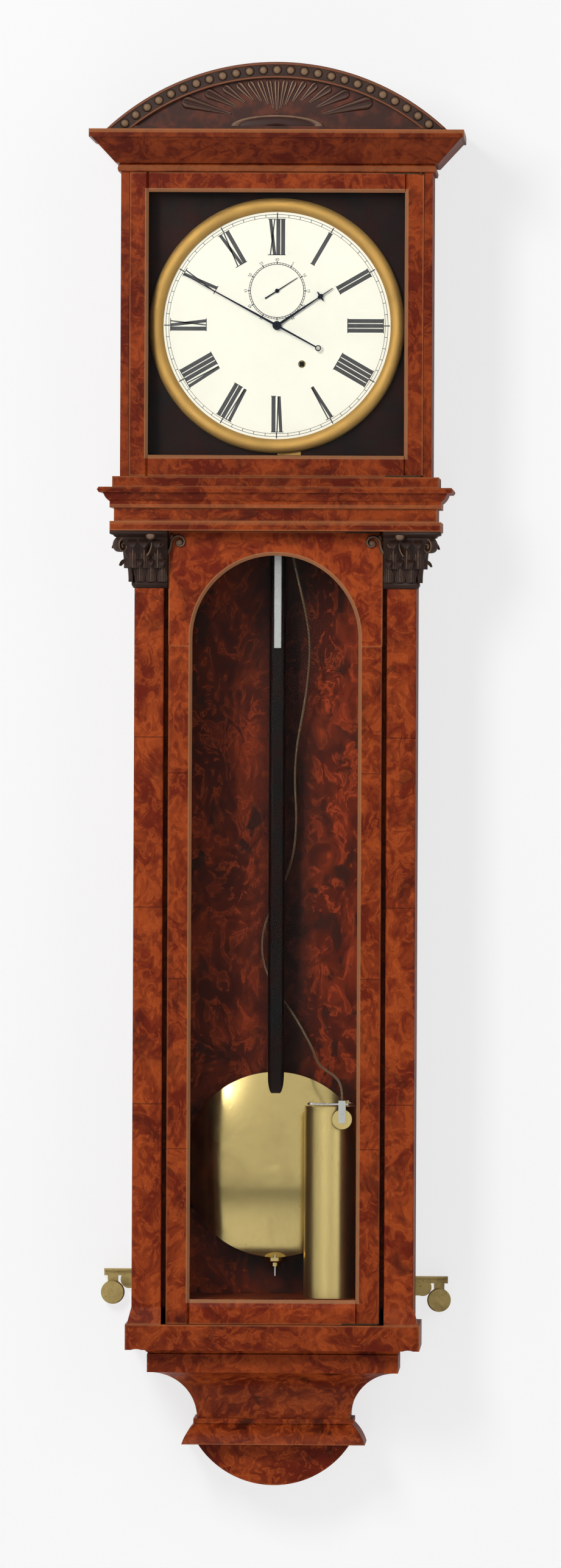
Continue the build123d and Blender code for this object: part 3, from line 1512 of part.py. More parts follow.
# Steadying stays at the back of the trunk, each with a screw that presses on the wall
stay_end = trunk_half + stay_reach
stay_root = trunk_half - stay_tongue
thumb_at = stay_end - stay_lobe
with BuildPart() as stay_brackets:
    for side, above in ((-1, stay_above_base[0]), (1, stay_above_base[1])):
        top = trunk_low + above
        lobe_x = side * (trunk_half + stay_lobe - stay_lobe_in)
        thumb_x = side * thumb_at
        slab(side * stay_root, side * stay_end, -stay_plate, 0, top - 2 * stay_flange, top)
        slab(side * trunk_half, side * stay_end, -stay_flange_depth, 0, top - stay_flange / 2, top)
        slab(side * stay_root, side * trunk_half, -stay_plate, 0, top - stay_tongue_height, top)
        slab(side * trunk_half, lobe_x, -stay_plate, 0, top - stay_web_drop, top)
        rod_along_y(lobe_x, top - stay_lobe_drop, stay_lobe, -stay_plate, 0)
        slab(thumb_x - stay_neck_half, thumb_x + stay_neck_half, -stay_plate, 0, top - thumb_drop, top)
        rod_along_y(thumb_x, top - thumb_drop, stay_boss, -stay_plate, 0)
        rod_along_y(thumb_x, top - thumb_drop, thumb_shank + running_fit, -stay_plate, 0,
                    mode=Mode.SUBTRACT)
keep(stay_brackets, "stay_brackets")


def thumb_screw(side, above):
    """Thumb screw with a flat milled head, threaded through the boss of a stay."""
    thumb_x = side * thumb_at
    thumb_z = trunk_low + above - thumb_drop
    head_back = -stay_plate - thumb_gap
    with BuildPart() as screw:
        rod_along_y(thumb_x, thumb_z, thumb_shank, head_back, -thumb_tip_gap)
        rod_along_y(thumb_x, thumb_z, thumb_radius, head_back - thumb_thickness, head_back)
        chamfer(screw.edges().filter_by(GeomType.CIRCLE).sort_by(Axis.Y)[0:1], length=thumb_chamfer)
    return screw


keep(thumb_screw(-1, stay_above_base[0]), "stay_screw_left")
keep(thumb_screw(1, stay_above_base[1]), "stay_screw_right")
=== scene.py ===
import math

import bmesh
import bpy
import numpy as np
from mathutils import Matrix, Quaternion, Vector


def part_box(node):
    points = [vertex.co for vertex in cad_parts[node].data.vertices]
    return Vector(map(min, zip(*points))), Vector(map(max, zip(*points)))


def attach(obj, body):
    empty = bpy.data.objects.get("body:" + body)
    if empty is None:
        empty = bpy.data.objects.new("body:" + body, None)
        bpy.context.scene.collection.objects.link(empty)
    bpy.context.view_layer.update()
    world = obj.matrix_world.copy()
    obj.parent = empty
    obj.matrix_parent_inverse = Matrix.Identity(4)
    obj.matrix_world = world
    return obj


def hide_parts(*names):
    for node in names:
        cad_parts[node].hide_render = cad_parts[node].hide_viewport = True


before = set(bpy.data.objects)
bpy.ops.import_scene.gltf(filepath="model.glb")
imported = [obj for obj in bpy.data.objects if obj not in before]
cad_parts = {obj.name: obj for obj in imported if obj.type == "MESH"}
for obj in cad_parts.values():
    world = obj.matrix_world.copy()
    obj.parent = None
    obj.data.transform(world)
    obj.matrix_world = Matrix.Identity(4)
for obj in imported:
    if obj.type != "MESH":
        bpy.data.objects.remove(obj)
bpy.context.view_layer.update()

bl_info = {
    "name": "Long wall regulator",
    "version": (1, 0, 0),
    "blender": (4, 5, 0),
    "location": "View3D > Sidebar > Regulator",
    "description": "Veneers, dial, carving and metalwork of a weight-driven wall clock",
    "category": "Object",
}


def level(node, axis, end):
    """One coordinate of a node's box at rest, in metres: end is 0 for the low side, 1 for the high."""
    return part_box(node)[end][axis]


DIAL_FRONT = level("dial", 1, 0)
DIAL_MIDDLE = tuple((level("dial", axis, 0) + level("dial", axis, 1)) / 2 for axis in (0, 2))
FORWARD = np.array((0.0, -1.0, 0.0))


# Sizes and colours

COLOUR_SETTING = {"subtype": "COLOR", "size": 3, "min": 0.0, "max": 1.0}
LENGTH_SETTING = {"unit": "LENGTH"}


class VeneerLook(bpy.types.PropertyGroup):
    """Figured veneer on the case."""

    light: bpy.props.FloatVectorProperty(
        name="Light figure", description="Pale colour of the figured veneer", default=(0.325, 0.055, 0.011),
        **COLOUR_SETTING)
    dark: bpy.props.FloatVectorProperty(
        name="Dark figure", description="Deep red brown of the figured veneer", default=(0.130, 0.013, 0.004),
        **COLOUR_SETTING)
    ink: bpy.props.FloatVectorProperty(
        name="Knots", description="Near-black colour of the burr's knots", default=(0.030, 0.006, 0.003),
        **COLOUR_SETTING)
    polish: bpy.props.FloatProperty(
        name="Polish", description="Roughness of the french polish", min=0.02, max=1.0, default=0.27)


class DialLook(bpy.types.PropertyGroup):
    """Printing on the enamel dial."""

    numeral_outer: bpy.props.FloatProperty(
        name="Numeral outer radius", description="Outer end of the hour numerals", default=0.1190,
        **LENGTH_SETTING)
    numeral_inner: bpy.props.FloatProperty(
        name="Numeral inner radius", description="Inner end of the hour numerals", default=0.0790,
        **LENGTH_SETTING)
    stroke: bpy.props.FloatProperty(
        name="Thick stroke", description="Width of a thick numeral stroke", default=0.0045, **LENGTH_SETTING)
    hairline: bpy.props.FloatProperty(
        name="Hairline", description="Width of serifs and thin strokes", default=0.0009, **LENGTH_SETTING)
    track: bpy.props.FloatProperty(
        name="Minute track radius", description="Outer circle of the minute track", default=0.1244,
        **LENGTH_SETTING)
    ink: bpy.props.FloatVectorProperty(
        name="Dial ink", description="Colour of the fired black", default=(0.018, 0.018, 0.020),
        **COLOUR_SETTING)
    ground: bpy.props.FloatVectorProperty(
        name="Enamel", description="Colour of the white enamel", default=(0.810, 0.780, 0.700),
        **COLOUR_SETTING)


class CarvingLook(bpy.types.PropertyGroup):
    """Carved capitals, fan and pellets."""

    leaf_flute: bpy.props.FloatProperty(
        name="Leaf flutes", description="Depth of the flutes cut in each leaf", default=0.0007,
        **LENGTH_SETTING)
    leaf_lobes: bpy.props.IntProperty(
        name="Leaf lobes", description="Lobes along each side of a leaf", min=2, max=9, default=4)
    leaf_curl: bpy.props.FloatProperty(
        name="Leaf curl", description="Angle the tip of a leaf rolls through, in radians", default=2.5)
    scroll_shrink: bpy.props.FloatProperty(
        name="Scroll shrink", description="Share a scroll's radius loses over one radian", default=0.17)
    stain: bpy.props.FloatVectorProperty(
        name="Stain", description="Dark stain in the hollows of the carving", default=(0.026, 0.012, 0.008),
        **COLOUR_SETTING)
    pale_crest: bpy.props.FloatVectorProperty(
        name="Rubbed crests", description="Paler colour on the crests of the carving",
        default=(0.155, 0.090, 0.056), **COLOUR_SETTING)


class MetalLook(bpy.types.PropertyGroup):
    """Brass, steel and the line."""

    brass: bpy.props.FloatVectorProperty(
        name="Brass", description="Colour of the lacquered brass", default=(0.600, 0.460, 0.190),
        **COLOUR_SETTING)
    tarnish: bpy.props.FloatVectorProperty(
        name="Tarnish", description="Colour of the darkened brass", default=(0.260, 0.180, 0.070),
        **COLOUR_SETTING)
    line_radius: bpy.props.FloatProperty(
        name="Line radius", description="Radius of the gut line", default=0.0013, **LENGTH_SETTING)


LOOKS = {"veneer": VeneerLook, "dial": DialLook, "carving": CarvingLook, "metal": MetalLook}


def look(kind):
    """One of the scene's groups of sizes and colours."""
    return getattr(bpy.context.scene, f"{kind}_look")


# Surfaces from arrays


def quads(rows, columns, wrap_rows=False, wrap_columns=False):
    """Corner numbers of the faces of a grid of rows x columns points, in a fixed order."""
    r = np.arange(rows if wrap_rows else rows - 1)
    c = np.arange(columns if wrap_columns else columns - 1)
    r, c = np.meshgrid(r, c, indexing="ij")
    r2, c2 = (r + 1) % rows, (c + 1) % columns
    corners = (r * columns + c, r * columns + c2, r2 * columns + c2, r2 * columns + c)
    return np.stack(corners, axis=-1).reshape(-1, 4)


def round_section(columns):
    """Cosine and sine once round a section, each as one row."""
    turn = np.linspace(0.0, 2 * math.pi, columns, endpoint=False)
    return np.cos(turn)[None], np.sin(turn)[None]


def tube(centre, side, front, across, along, crest):
    """Closed skin round a curved spine: rows follow the spine, columns go once round it.

    A point is centre + side * across + front * along. centre has a row of three numbers for each
    step of the spine. side and front have the same or are one direction, and across, along and
    the crest height are rows x columns or one row for all steps. The first and last rings are shut
    with a fan of thin faces on their middle point.
    """
    rows, columns = len(centre), across.shape[-1]
    across, along, crest = (np.broadcast_to(part, (rows, columns)) for part in (across, along, crest))
    side, front = (np.broadcast_to(part, (rows, 3)) for part in (side, front))
    points = centre[:, None, :] + side[:, None, :] * across[..., None] + front[:, None, :] * along[..., None]
    ends = np.array((points[0].mean(axis=0), points[-1].mean(axis=0)))
    first, last, base = rows * columns, rows * columns + 1, (rows - 1) * columns
    pairs = [(here, (here + 1) % columns) for here in range(columns)]
    caps = [(first, b, a) for a, b in pairs] + [(last, base + a, base + b) for a, b in pairs]
    faces = quads(rows, columns, wrap_columns=True)
    return np.concatenate((points.reshape(-1, 3), ends)), faces, caps, crest.reshape(-1)


def strips(corners, y_front, depth):
    """Thin printed marks: four corners each in the XZ plane, made into shallow blocks."""
    count = len(corners)
    front = np.concatenate((corners[..., :1], np.full((count, 4, 1), y_front), corners[..., 1:]), axis=-1)
    points = np.concatenate((front, front + np.array((0.0, depth, 0.0))), axis=1).reshape(-1, 3)
    local = np.array([(0, 1, 2, 3), (7, 6, 5, 4), (0, 4, 5, 1), (1, 5, 6, 2), (2, 6, 7, 3), (3, 7, 4, 0)])
    return points, (local[None] + 8 * np.arange(count)[:, None, None]).reshape(-1, 4), []


def ring_solid(inner, outer, y_front, depth, middle, steps=144):
    """Flat ring between two radii, as a closed shallow band."""
    turn = np.linspace(0, 2 * math.pi, steps, endpoint=False)
    profile = ((inner, y_front), (outer, y_front), (outer, y_front + depth), (inner, y_front + depth))
    rows = [np.stack((middle[0] + r * np.sin(turn), np.full(steps, y), middle[1] + r * np.cos(turn)), axis=-1)
            for r, y in profile]
    return np.stack(rows).reshape(-1, 3), quads(len(profile), steps, wrap_rows=True, wrap_columns=True), []


def make_piece(name, shells, material, body="case", smooth=True, stands_for=()):
    """One piece from a list of (points, faces, caps) shells, with normals turned outwards.

    A shell can carry a fourth part, the height of its relief at each point from 0 to 1, which is
    kept as the attribute "crest" for the material.
    """
    points, faces, crests, start = [], [], [], 0
    for shell, shell_faces, caps, *more in shells:
        crest = more[0] if more else []
        points.append(shell)
        crests.append(np.pad(crest, (0, len(shell) - len(crest))))
        faces += (shell_faces + start).tolist() + [tuple(i + start for i in cap) for cap in caps]
        start += len(shell)
    mesh = bpy.data.meshes.new(name)
    mesh.from_pydata(np.concatenate(points).tolist(), [], faces)
    mesh.materials.append(material)
    mesh.polygons.foreach_set("use_smooth", [smooth] * len(faces))
    mesh.attributes.new("crest", "FLOAT", "POINT").data.foreach_set("value", np.concatenate(crests).tolist())
    mesh.validate()
    outwards(mesh)
    piece = bpy.data.objects.new(name, mesh)
    bpy.context.collection.objects.link(piece)
    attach(piece, body)
    if stands_for:
        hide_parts(*stands_for)


def outwards(mesh):
    """Merges doubled points and turns every closed shell's faces to point out of it."""
    work = bmesh.new()
    work.from_mesh(mesh)
    bmesh.ops.remove_doubles(work, verts=work.verts, dist=1e-7)
    bmesh.ops.recalc_face_normals(work, faces=work.faces)
    work.to_mesh(mesh)
    work.free()
    mesh.update()


def smooth_step(low, high, value):
    """0 below low, 1 above high and an S-shaped rise between."""
    share = np.clip((value - low) / (high - low), 0.0, 1.0)
    return share * share * (3 - 2 * share)


def spine_frames(out, angle, ahead, up, root):
    """Middle line of a band in the plane of out and +Z, with its side and front directions.

    angle is how far the band's direction leans from +Z towards out at each step.
    """
    out, rise = np.asarray(out, dtype=float), np.array((0.0, 0.0, 1.0))
    centre = np.asarray(root) + ahead[:, None] * out + up[:, None] * rise
    return centre, np.cross(rise, out), np.cos(angle)[:, None] * out - np.sin(angle)[:, None] * rise


def leaf_shell(root, out, wide, tall):
    """Acanthus leaf that stands at root and faces along out.

    The rib starts upright. Its lean grows slowly and then, over the last part, by the curl angle, so
    that the tip rolls forward and down. Half the width shrinks to the tip as the square root of
    1 - v^4, notched between n lobes by |sin(pi n v)|^0.7. Across the leaf the relief is a cosine
    with five flutes, and the edges bend back round the bell with the square of u.
    """
    v, tone = np.linspace(0.0, 1.0, 42), look("carving")
    angle = 0.36 * v + tone.leaf_curl * smooth_step(0.50, 1.0, v)
    ahead, up = np.cumsum(np.sin(angle)), np.cumsum(np.cos(angle))
    scale = tall / up.max()
    u, lift = round_section(44)
    face = np.clip(lift, 0, 1)
    notch = 0.80 + 0.20 * np.abs(np.sin(math.pi * tone.leaf_lobes * v)) ** 0.7
    half = wide / 2 * (0.74 + 0.26 * (1 - v)) * np.sqrt(np.clip(1 - v**4, 0.0025, 1)) * notch
    flute, rib = np.cos(5 * math.pi * u) * face, np.exp(-(u / 0.16) ** 2) * face
    thick = 0.0009 + 0.0008 * (1 - v[:, None])
    relief = tone.leaf_flute * (flute + 1.2 * rib) * smooth_step(0.0, 0.15, 1.03 - v)[:, None]
    along = thick * lift + relief - 0.0016 * u**2 * (1 - 0.5 * v[:, None])
    crest = face * (0.35 + 0.35 * flute + 0.3 * rib) * (0.5 + 0.5 * v[:, None])
    return tube(*spine_frames(out, angle, ahead * scale, up * scale, root), half[:, None] * u, along, crest)


def scroll_shell(eye, out, radius, tail, wide, thick, turns=1.8):
    """Volute: a band that climbs from the bell and rolls up round its eye.

    After a stem that leans in like a parabola, the middle line is a spiral whose radius shrinks by the
    same share in every radian. The band has raised edges, cos^8 round its section, and thins inwards.
    """
    stem = np.linspace(0.0, 1.0, 14)[:-1]
    curl = np.linspace(0.0, 2 * math.pi * turns, 70)
    shrink = np.exp(-look("carving").scroll_shrink * curl)
    ahead = np.concatenate((-radius - 0.35 * tail * (1 - stem) ** 2, -radius * shrink * np.cos(curl)))
    up = np.concatenate((-tail * (1 - stem), radius * shrink * np.sin(curl)))
    angle = np.unwrap(np.arctan2(np.gradient(ahead), np.gradient(up)))
    size = np.concatenate((np.ones(len(stem)), shrink**0.55))[:, None]
    u, lift = round_section(28)
    rim = np.abs(u) ** 8
    along = thick / 2 * size * lift * (0.75 + 0.55 * rim)
    crest = np.clip(0.25 + 0.6 * rim, 0, 1)
    return tube(*spine_frames(out, angle, ahead, up, eye), wide / 2 * size**0.4 * u, along, crest)


def dome_shell(middle, sizes, rows=15, columns=22):
    """Closed ellipsoid with its half axes along X, Y and Z, for pellets and the eyes of scrolls."""
    polar = np.linspace(0.0, math.pi, rows)[:, None]
    cosine, sine = round_section(columns)
    unit = np.stack((np.sin(polar) * cosine, -np.cos(polar) + 0 * sine, np.sin(polar) * sine), axis=-1)
    points = np.asarray(middle) + unit * np.asarray(sizes)
    crest = np.clip(np.cos(polar) + 0 * sine, 0, 1) ** 2
    return points.reshape(-1, 3), quads(rows, columns, wrap_columns=True), [], crest.reshape(-1)


def wrap_block(side, levels, inner, edge, front, back, wrap, soft):
    """Block that wraps the front outer corner of the case: one L-shaped loop for each level.

    levels is a list of (z, out), where out is how far the loop stands out past edge and front.
    """
    rings = []
    for z, out in levels:
        outer, fore = edge + out, front - out
        arc = np.linspace(0.0, math.pi / 2, 9)
        corner = zip(outer - soft + soft * np.sin(arc), fore + soft - soft * np.cos(arc))
        loop = [(inner, back), (inner, fore), *corner, (outer, wrap), (edge, wrap), (edge, back)]
        rings.append([(side * x, y, z) for x, y in loop])
    points = np.array(rings)
    rows, columns = points.shape[:2]
    caps = [tuple(range(columns)), tuple((rows - 1) * columns + i for i in reversed(range(columns)))]
    return points.reshape(-1, 3), quads(rows, columns, wrap_columns=True), caps


def arc_bead(radius, centre_z, end, y, thick):
    """Half-round moulding along an arc over x = 0, half sunk in the face behind it."""
    angle = np.linspace(-end, end, 121)
    out = np.stack((np.sin(angle), 0 * angle, np.cos(angle)), axis=-1)
    u, lift = round_section(14)
    return tube(radius * out + np.array((0.0, y, centre_z)), out, FORWARD, thick * u, thick * lift,
                np.clip(lift, 0, 1))


# Material helpers


class Wiring:
    """Short way to add and join nodes in one tree. In a material, shader is its Principled BSDF."""

    def __init__(self, tree, shader=None):
        self.tree, self.shader, self.column = tree, shader, 0

    def node(self, kind, values=None, **settings):
        made = self.tree.nodes.new(kind)
        made.location = (180 * (self.column % 8), -260 * (self.column // 8))
        self.column += 1
        for key, value in settings.items():
            setattr(made, key, value)
        for key, value in (values or {}).items():
            self.feed(made.inputs[key], value)
        return made

    def feed(self, socket, value):
        """Joins a socket to another socket, or sets it to a number or colour."""
        if isinstance(value, bpy.types.NodeSocket):
            self.tree.links.new(value, socket)
        else:
            socket.default_value = value

    def math(self, operation, first, *others, clamp=False):
        """One Math node, or a row of them when there are more than two values."""
        made = self.node("ShaderNodeMath", operation=operation, use_clamp=clamp)
        for socket, value in zip(made.inputs, (first, *others)):
            self.feed(socket, value)
        return self.math(operation, made.outputs[0], *others[1:]) if others[1:] else made.outputs[0]

    def times(self, *values, clamp=False):
        return self.math("MULTIPLY", *values, clamp=clamp)

    def plus(self, *values):
        return self.math("ADD", *values)

    def minus(self, *values, clamp=False):
        return self.math("SUBTRACT", *values, clamp=clamp)

    def most(self, *values):
        return self.math("MAXIMUM", *values)

    def gap(self, first, second=0.0):
        """How far a value is from another, whichever is more."""
        return self.math("ABSOLUTE", self.minus(first, second))

    def length(self, first, second):
        """Length of a run with these two parts."""
        return self.math("SQRT", self.plus(self.times(first, first), self.times(second, second)))

    def vector(self, operation, *values):
        made = self.node("ShaderNodeVectorMath", operation=operation)
        for socket, value in zip([s for s in made.inputs if s.enabled], values):
            self.feed(socket, value)
        return made.outputs["Vector"]

    def axes(self, vector):
        return self.node("ShaderNodeSeparateXYZ", {"Vector": vector}).outputs

    def noise(self, vector, scale, detail=4.0, roughness=0.55, distortion=0.0, out="Fac"):
        made = self.node("ShaderNodeTexNoise", {"Vector": vector, "Scale": scale, "Detail": detail,
                                                "Roughness": roughness, "Distortion": distortion})
        return made.outputs[out]

    def ramp(self, value, low, high):
        """0 below low and 1 above high."""
        made = self.node("ShaderNodeMapRange", {"Value": value, "From Min": low, "From Max": high},
                         interpolation_type="SMOOTHSTEP")
        return made.outputs["Result"]

    def fall(self, value, low, high):
        """1 below low and 0 above high."""
        return self.minus(1.0, self.ramp(value, low, high))

    def band(self, value, low, high, soft=0.0004):
        """1 where the value lies between low and high, with soft ends."""
        above = self.ramp(value, low - soft, low + soft)
        return self.times(above, self.fall(value, high - soft, high + soft))

    def mix(self, share, first, second, blend="MIX"):
        made = self.node("ShaderNodeMix", data_type="RGBA", blend_type=blend)
        for number, value in ((0, share), (6, first), (7, second)):
            self.feed(made.inputs[number], value)
        return made.outputs[2]

    def blend(self, share, first, second):
        """Mix Shader of two surfaces, joined to the material's output."""
        mixer = self.node("ShaderNodeMixShader")
        for socket, value in zip(mixer.inputs, (share, first, second)):
            self.feed(socket, value)
        self.feed(self.tree.nodes["Material Output"].inputs[0], mixer.outputs[0])
        return mixer.outputs[0]

    def finish(self, colour, roughness, relief=None, strength=0.0, distance=0.0, specular=0.5, metallic=0.0):
        """Gives the shader its colour, roughness and relief."""
        for label, value in (("Base Color", colour), ("Roughness", roughness), ("Metallic", metallic),
                             ("Specular IOR Level", specular)):
            self.feed(self.shader.inputs[label], value)
        if relief is not None:
            bump = self.node("ShaderNodeBump", {"Height": relief, "Strength": strength, "Distance": distance})
            self.feed(self.shader.inputs["Normal"], bump.outputs[0])


FLOAT, COLOUR, VECTOR = "NodeSocketFloat", "NodeSocketColor", "NodeSocketVector"


def new_group(name, inputs, outputs):
    """Empty shader group whose sockets are given as {name: kind}."""
    group = bpy.data.node_groups.new(name, "ShaderNodeTree")
    for way, sockets in (("INPUT", inputs), ("OUTPUT", outputs)):
        for label, kind in sockets.items():
            group.interface.new_socket(name=label, in_out=way, socket_type=kind)
    return Wiring(group), group.nodes.new("NodeGroupInput").outputs, group.nodes.new("NodeGroupOutput").inputs


def burr_group():
    """Burr figure: curled clouds of dark and light, near-black knots with bright rims, and fine pores.

    The place is pushed about twice, by a broad noise and then by a finer one, so that every figure
    read from it curls round itself.
    """
    wire, given, out = new_group(
        "Burr figure",
        {"Vector": VECTOR, "Light": COLOUR, "Dark": COLOUR, "Ink": COLOUR, "Burr": FLOAT, "Polish": FLOAT},
        {"Color": COLOUR, "Roughness": FLOAT, "Height": FLOAT})
    place = pushed = given["Vector"]
    for scale, reach in ((10.0, 0.055), (34.0, 0.016)):
        drift = wire.vector("SUBTRACT", wire.noise(pushed, scale, 2.0, 0.5, out="Color"), (0.5, 0.5, 0.5))
        pushed = wire.vector("ADD", pushed, wire.vector("MULTIPLY", drift, (reach, reach, reach)))
    cloud = wire.noise(pushed, 20.0, 5.0, 0.62)
    curl = wire.noise(pushed, 72.0, 5.0, 0.62, 1.2)
    figure = wire.ramp(wire.plus(wire.times(cloud, 0.60), wire.times(curl, 0.40)), 0.40, 0.61)
    colour = wire.mix(figure, given["Dark"], given["Light"])
    rims = wire.times(wire.band(curl, 0.545, 0.585, 0.02), wire.times(given["Burr"], 0.55))
    colour = wire.mix(rims, colour, wire.mix(1.0, given["Light"], (1.75, 2.1, 2.0, 1.0), "MULTIPLY"))
    patch = wire.ramp(wire.noise(pushed, 13.0, 3.0), 0.47, 0.60)
    knots = wire.ramp(wire.noise(pushed, 46.0, 4.0, 0.6), 0.50, 0.63)
    knots = wire.times(knots, wire.plus(0.25, wire.times(patch, 0.75)))
    colour = wire.mix(wire.times(knots, given["Burr"], clamp=True), colour, given["Ink"])
    pores = wire.noise(wire.vector("MULTIPLY", place, (1.0, 1.0, 0.12)), 900.0, 2.0, 0.5)
    shade = wire.plus(0.88, wire.times(pores, 0.24))
    grey = wire.node("ShaderNodeCombineColor", {"Red": shade, "Green": shade, "Blue": shade}).outputs[0]
    wire.feed(out["Color"], wire.mix(1.0, colour, grey, "MULTIPLY"))
    wire.feed(out["Roughness"], wire.plus(given["Polish"], wire.times(cloud, 0.12)))
    wire.feed(out["Height"], wire.plus(wire.times(pores, 0.5), wire.times(cloud, 0.5)))
    return wire.tree


def edge_group():
    """Rubbed edges of a block: a point near two faces of the box between Low and High lies on an edge.

    For each axis the distance to the nearer face is taken. The middle one of the three distances is
    the distance to the nearest edge, and the mask is 1 on the edge and 0 beyond Width.
    """
    wire, given, out = new_group(
        "Rubbed edges",
        {"Vector": VECTOR, "Low": VECTOR, "High": VECTOR, "Width": FLOAT, "Strength": FLOAT}, {"Mask": FLOAT})
    near = wire.axes(wire.vector(
        "MINIMUM", *(wire.vector("ABSOLUTE", wire.vector("SUBTRACT", given["Vector"], given[end]))
                     for end in ("Low", "High"))))
    middle = wire.minus(wire.plus(*near), wire.most(*near), wire.math("MINIMUM", *near))
    width = wire.times(given["Width"], wire.plus(0.45, wire.noise(given["Vector"], 55.0, 3.0, 0.6)))
    mask = wire.minus(1.0, wire.math("DIVIDE", middle, width), clamp=True)
    wire.feed(out["Mask"], wire.times(mask, given["Strength"]))
    return wire.tree


def metal_group():
    """Lacquered metal: cloudy tarnish, fine turning marks and small dark specks."""
    wire, given, out = new_group(
        "Aged metal",
        {"Vector": VECTOR, "Bright": COLOUR, "Dull": COLOUR, "Wear": FLOAT, "Roughness": FLOAT},
        {"Color": COLOUR, "Roughness": FLOAT, "Height": FLOAT})
    cloud = wire.noise(given["Vector"], 22.0, 6.0, 0.6, 0.4)
    specks = wire.fall(wire.noise(given["Vector"], 420.0, 2.0, 0.5), 0.28, 0.40)
    dull = wire.most(wire.times(wire.ramp(cloud, 0.42, 0.75), given["Wear"]),
                     wire.times(specks, wire.times(given["Wear"], 0.7)))
    wire.feed(out["Color"], wire.mix(dull, given["Bright"], given["Dull"]))
    wire.feed(out["Roughness"], wire.plus(given["Roughness"], wire.times(dull, 0.25)))
    wire.feed(out["Height"], wire.plus(wire.times(cloud, 0.6), wire.times(specks, -0.4)))
    return wire.tree


GROUP_MAKERS = {"Burr figure": burr_group, "Rubbed edges": edge_group, "Aged metal": metal_group}
GROUPS = {}


def group_node(wire, name, values):
    """Places a shared effect in a material's tree."""
    if name not in GROUPS:
        GROUPS[name] = GROUP_MAKERS[name]()
    return wire.node("ShaderNodeGroup", values, node_tree=GROUPS[name]).outputs


def blank_material(name, nodes=()):
    """Material with one Principled BSDF, put on the CAD nodes, and its wiring."""
    material = bpy.data.materials.new(name)
    material.use_nodes = True
    tree = material.node_tree
    tree.nodes.clear()
    shader = tree.nodes.new("ShaderNodeBsdfPrincipled")
    tree.links.new(shader.outputs[0], tree.nodes.new("ShaderNodeOutputMaterial").inputs[0])
    for node in nodes:
        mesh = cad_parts[node].data
        mesh.materials.clear()
        mesh.materials.append(material)
    return material, Wiring(tree, shader)


def rgba(colour, factor=1.0):
    return (colour[0] * factor, colour[1] * factor, colour[2] * factor, 1.0)


def placed(wire, move=(0, 0, 0), scale=(1, 1, 1)):
    """Object coordinates through a Mapping node."""
    source = wire.node("ShaderNodeTexCoord").outputs["Object"]
    return wire.node("ShaderNodeMapping", {"Vector": source, "Location": move, "Scale": scale}).outputs[0]


def opening_distance(wire, part, opening):
    """Distance beyond the edge of a door's opening, given as (half width, sill, head, arched).

    An arched opening ends in a half circle over the height head.
    """
    half, sill, head, arched = opening
    if arched:
        reach = wire.length(part[0], wire.most(wire.minus(part[2], head), 0.0))
        return wire.most(wire.minus(reach, half), wire.minus(sill, part[2]))
    return wire.most(wire.minus(wire.math("ABSOLUTE", part[0]), half),
                     wire.minus(wire.gap(part[2], (sill + head) / 2), (head - sill) / 2))


def veneer(label, nodes, move, light=1.0, burr=0.7, scale=(1, 1, 1), edge=0.55, joints=(), bands=(),
           opening=None, tint=None, painted_rod_shadow=None):
    """Polished figured veneer, laid on the nodes.

    edge rubs the edges of the first node's box, joints darkens cross joints along Z, bands pales
    stretches of Z given as (low, high, strength), and opening pales the bead round a door's glass.
    The last argument, given as (middle, half width, reach), darkens an upright strip of the front: painted
    shade that stands for the pendulum rod's shadow.
    """
    wire, wood = blank_material(label, nodes)[1], look("veneer")
    figure = group_node(wire, "Burr figure", {
        "Vector": placed(wire, move, scale), "Light": rgba(tint or wood.light, light),
        "Dark": rgba(wood.dark, light), "Ink": rgba(wood.ink), "Burr": burr, "Polish": wood.polish})
    colour, worn, bead = figure["Color"], (0.400, 0.150, 0.058, 1.0), (0.350, 0.165, 0.075, 1.0)
    plain = wire.node("ShaderNodeTexCoord").outputs["Object"]
    part = wire.axes(plain)
    # Painted shade: a dark upright strip standing for the pendulum rod's shadow on the backboard.
    if painted_rod_shadow:
        middle, half, reach = painted_rod_shadow
        rod_shadow_mask = wire.fall(wire.gap(part[0], middle), half, half + reach)
        colour = wire.mix(wire.times(rod_shadow_mask, wire.math("LESS_THAN", part[1], -0.003), 0.82), colour,
                          rgba(wood.ink, 0.5))
    for z in joints:
        line = wire.fall(wire.gap(part[2], z), 0.0002, 0.0011)
        colour = wire.mix(wire.times(line, 0.6), colour, rgba(wood.ink))
    for low, high, strength in bands:
        colour = wire.mix(wire.times(wire.band(part[2], low, high), strength), colour, worn)
    if edge:
        low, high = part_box(nodes[0])
        paling = group_node(wire, "Rubbed edges", {"Vector": plain, "Low": tuple(low), "High": tuple(high),
                                                "Width": 0.0022, "Strength": edge})
        colour = wire.mix(paling["Mask"], colour, worn)
    if opening:
        round_glass = wire.band(opening_distance(wire, part, opening), -0.0010, 0.0040)
        colour = wire.mix(wire.times(round_glass, 0.75), colour, bead)
    wire.finish(colour, figure["Roughness"], figure["Height"], 0.10, 0.0006, specular=0.09)


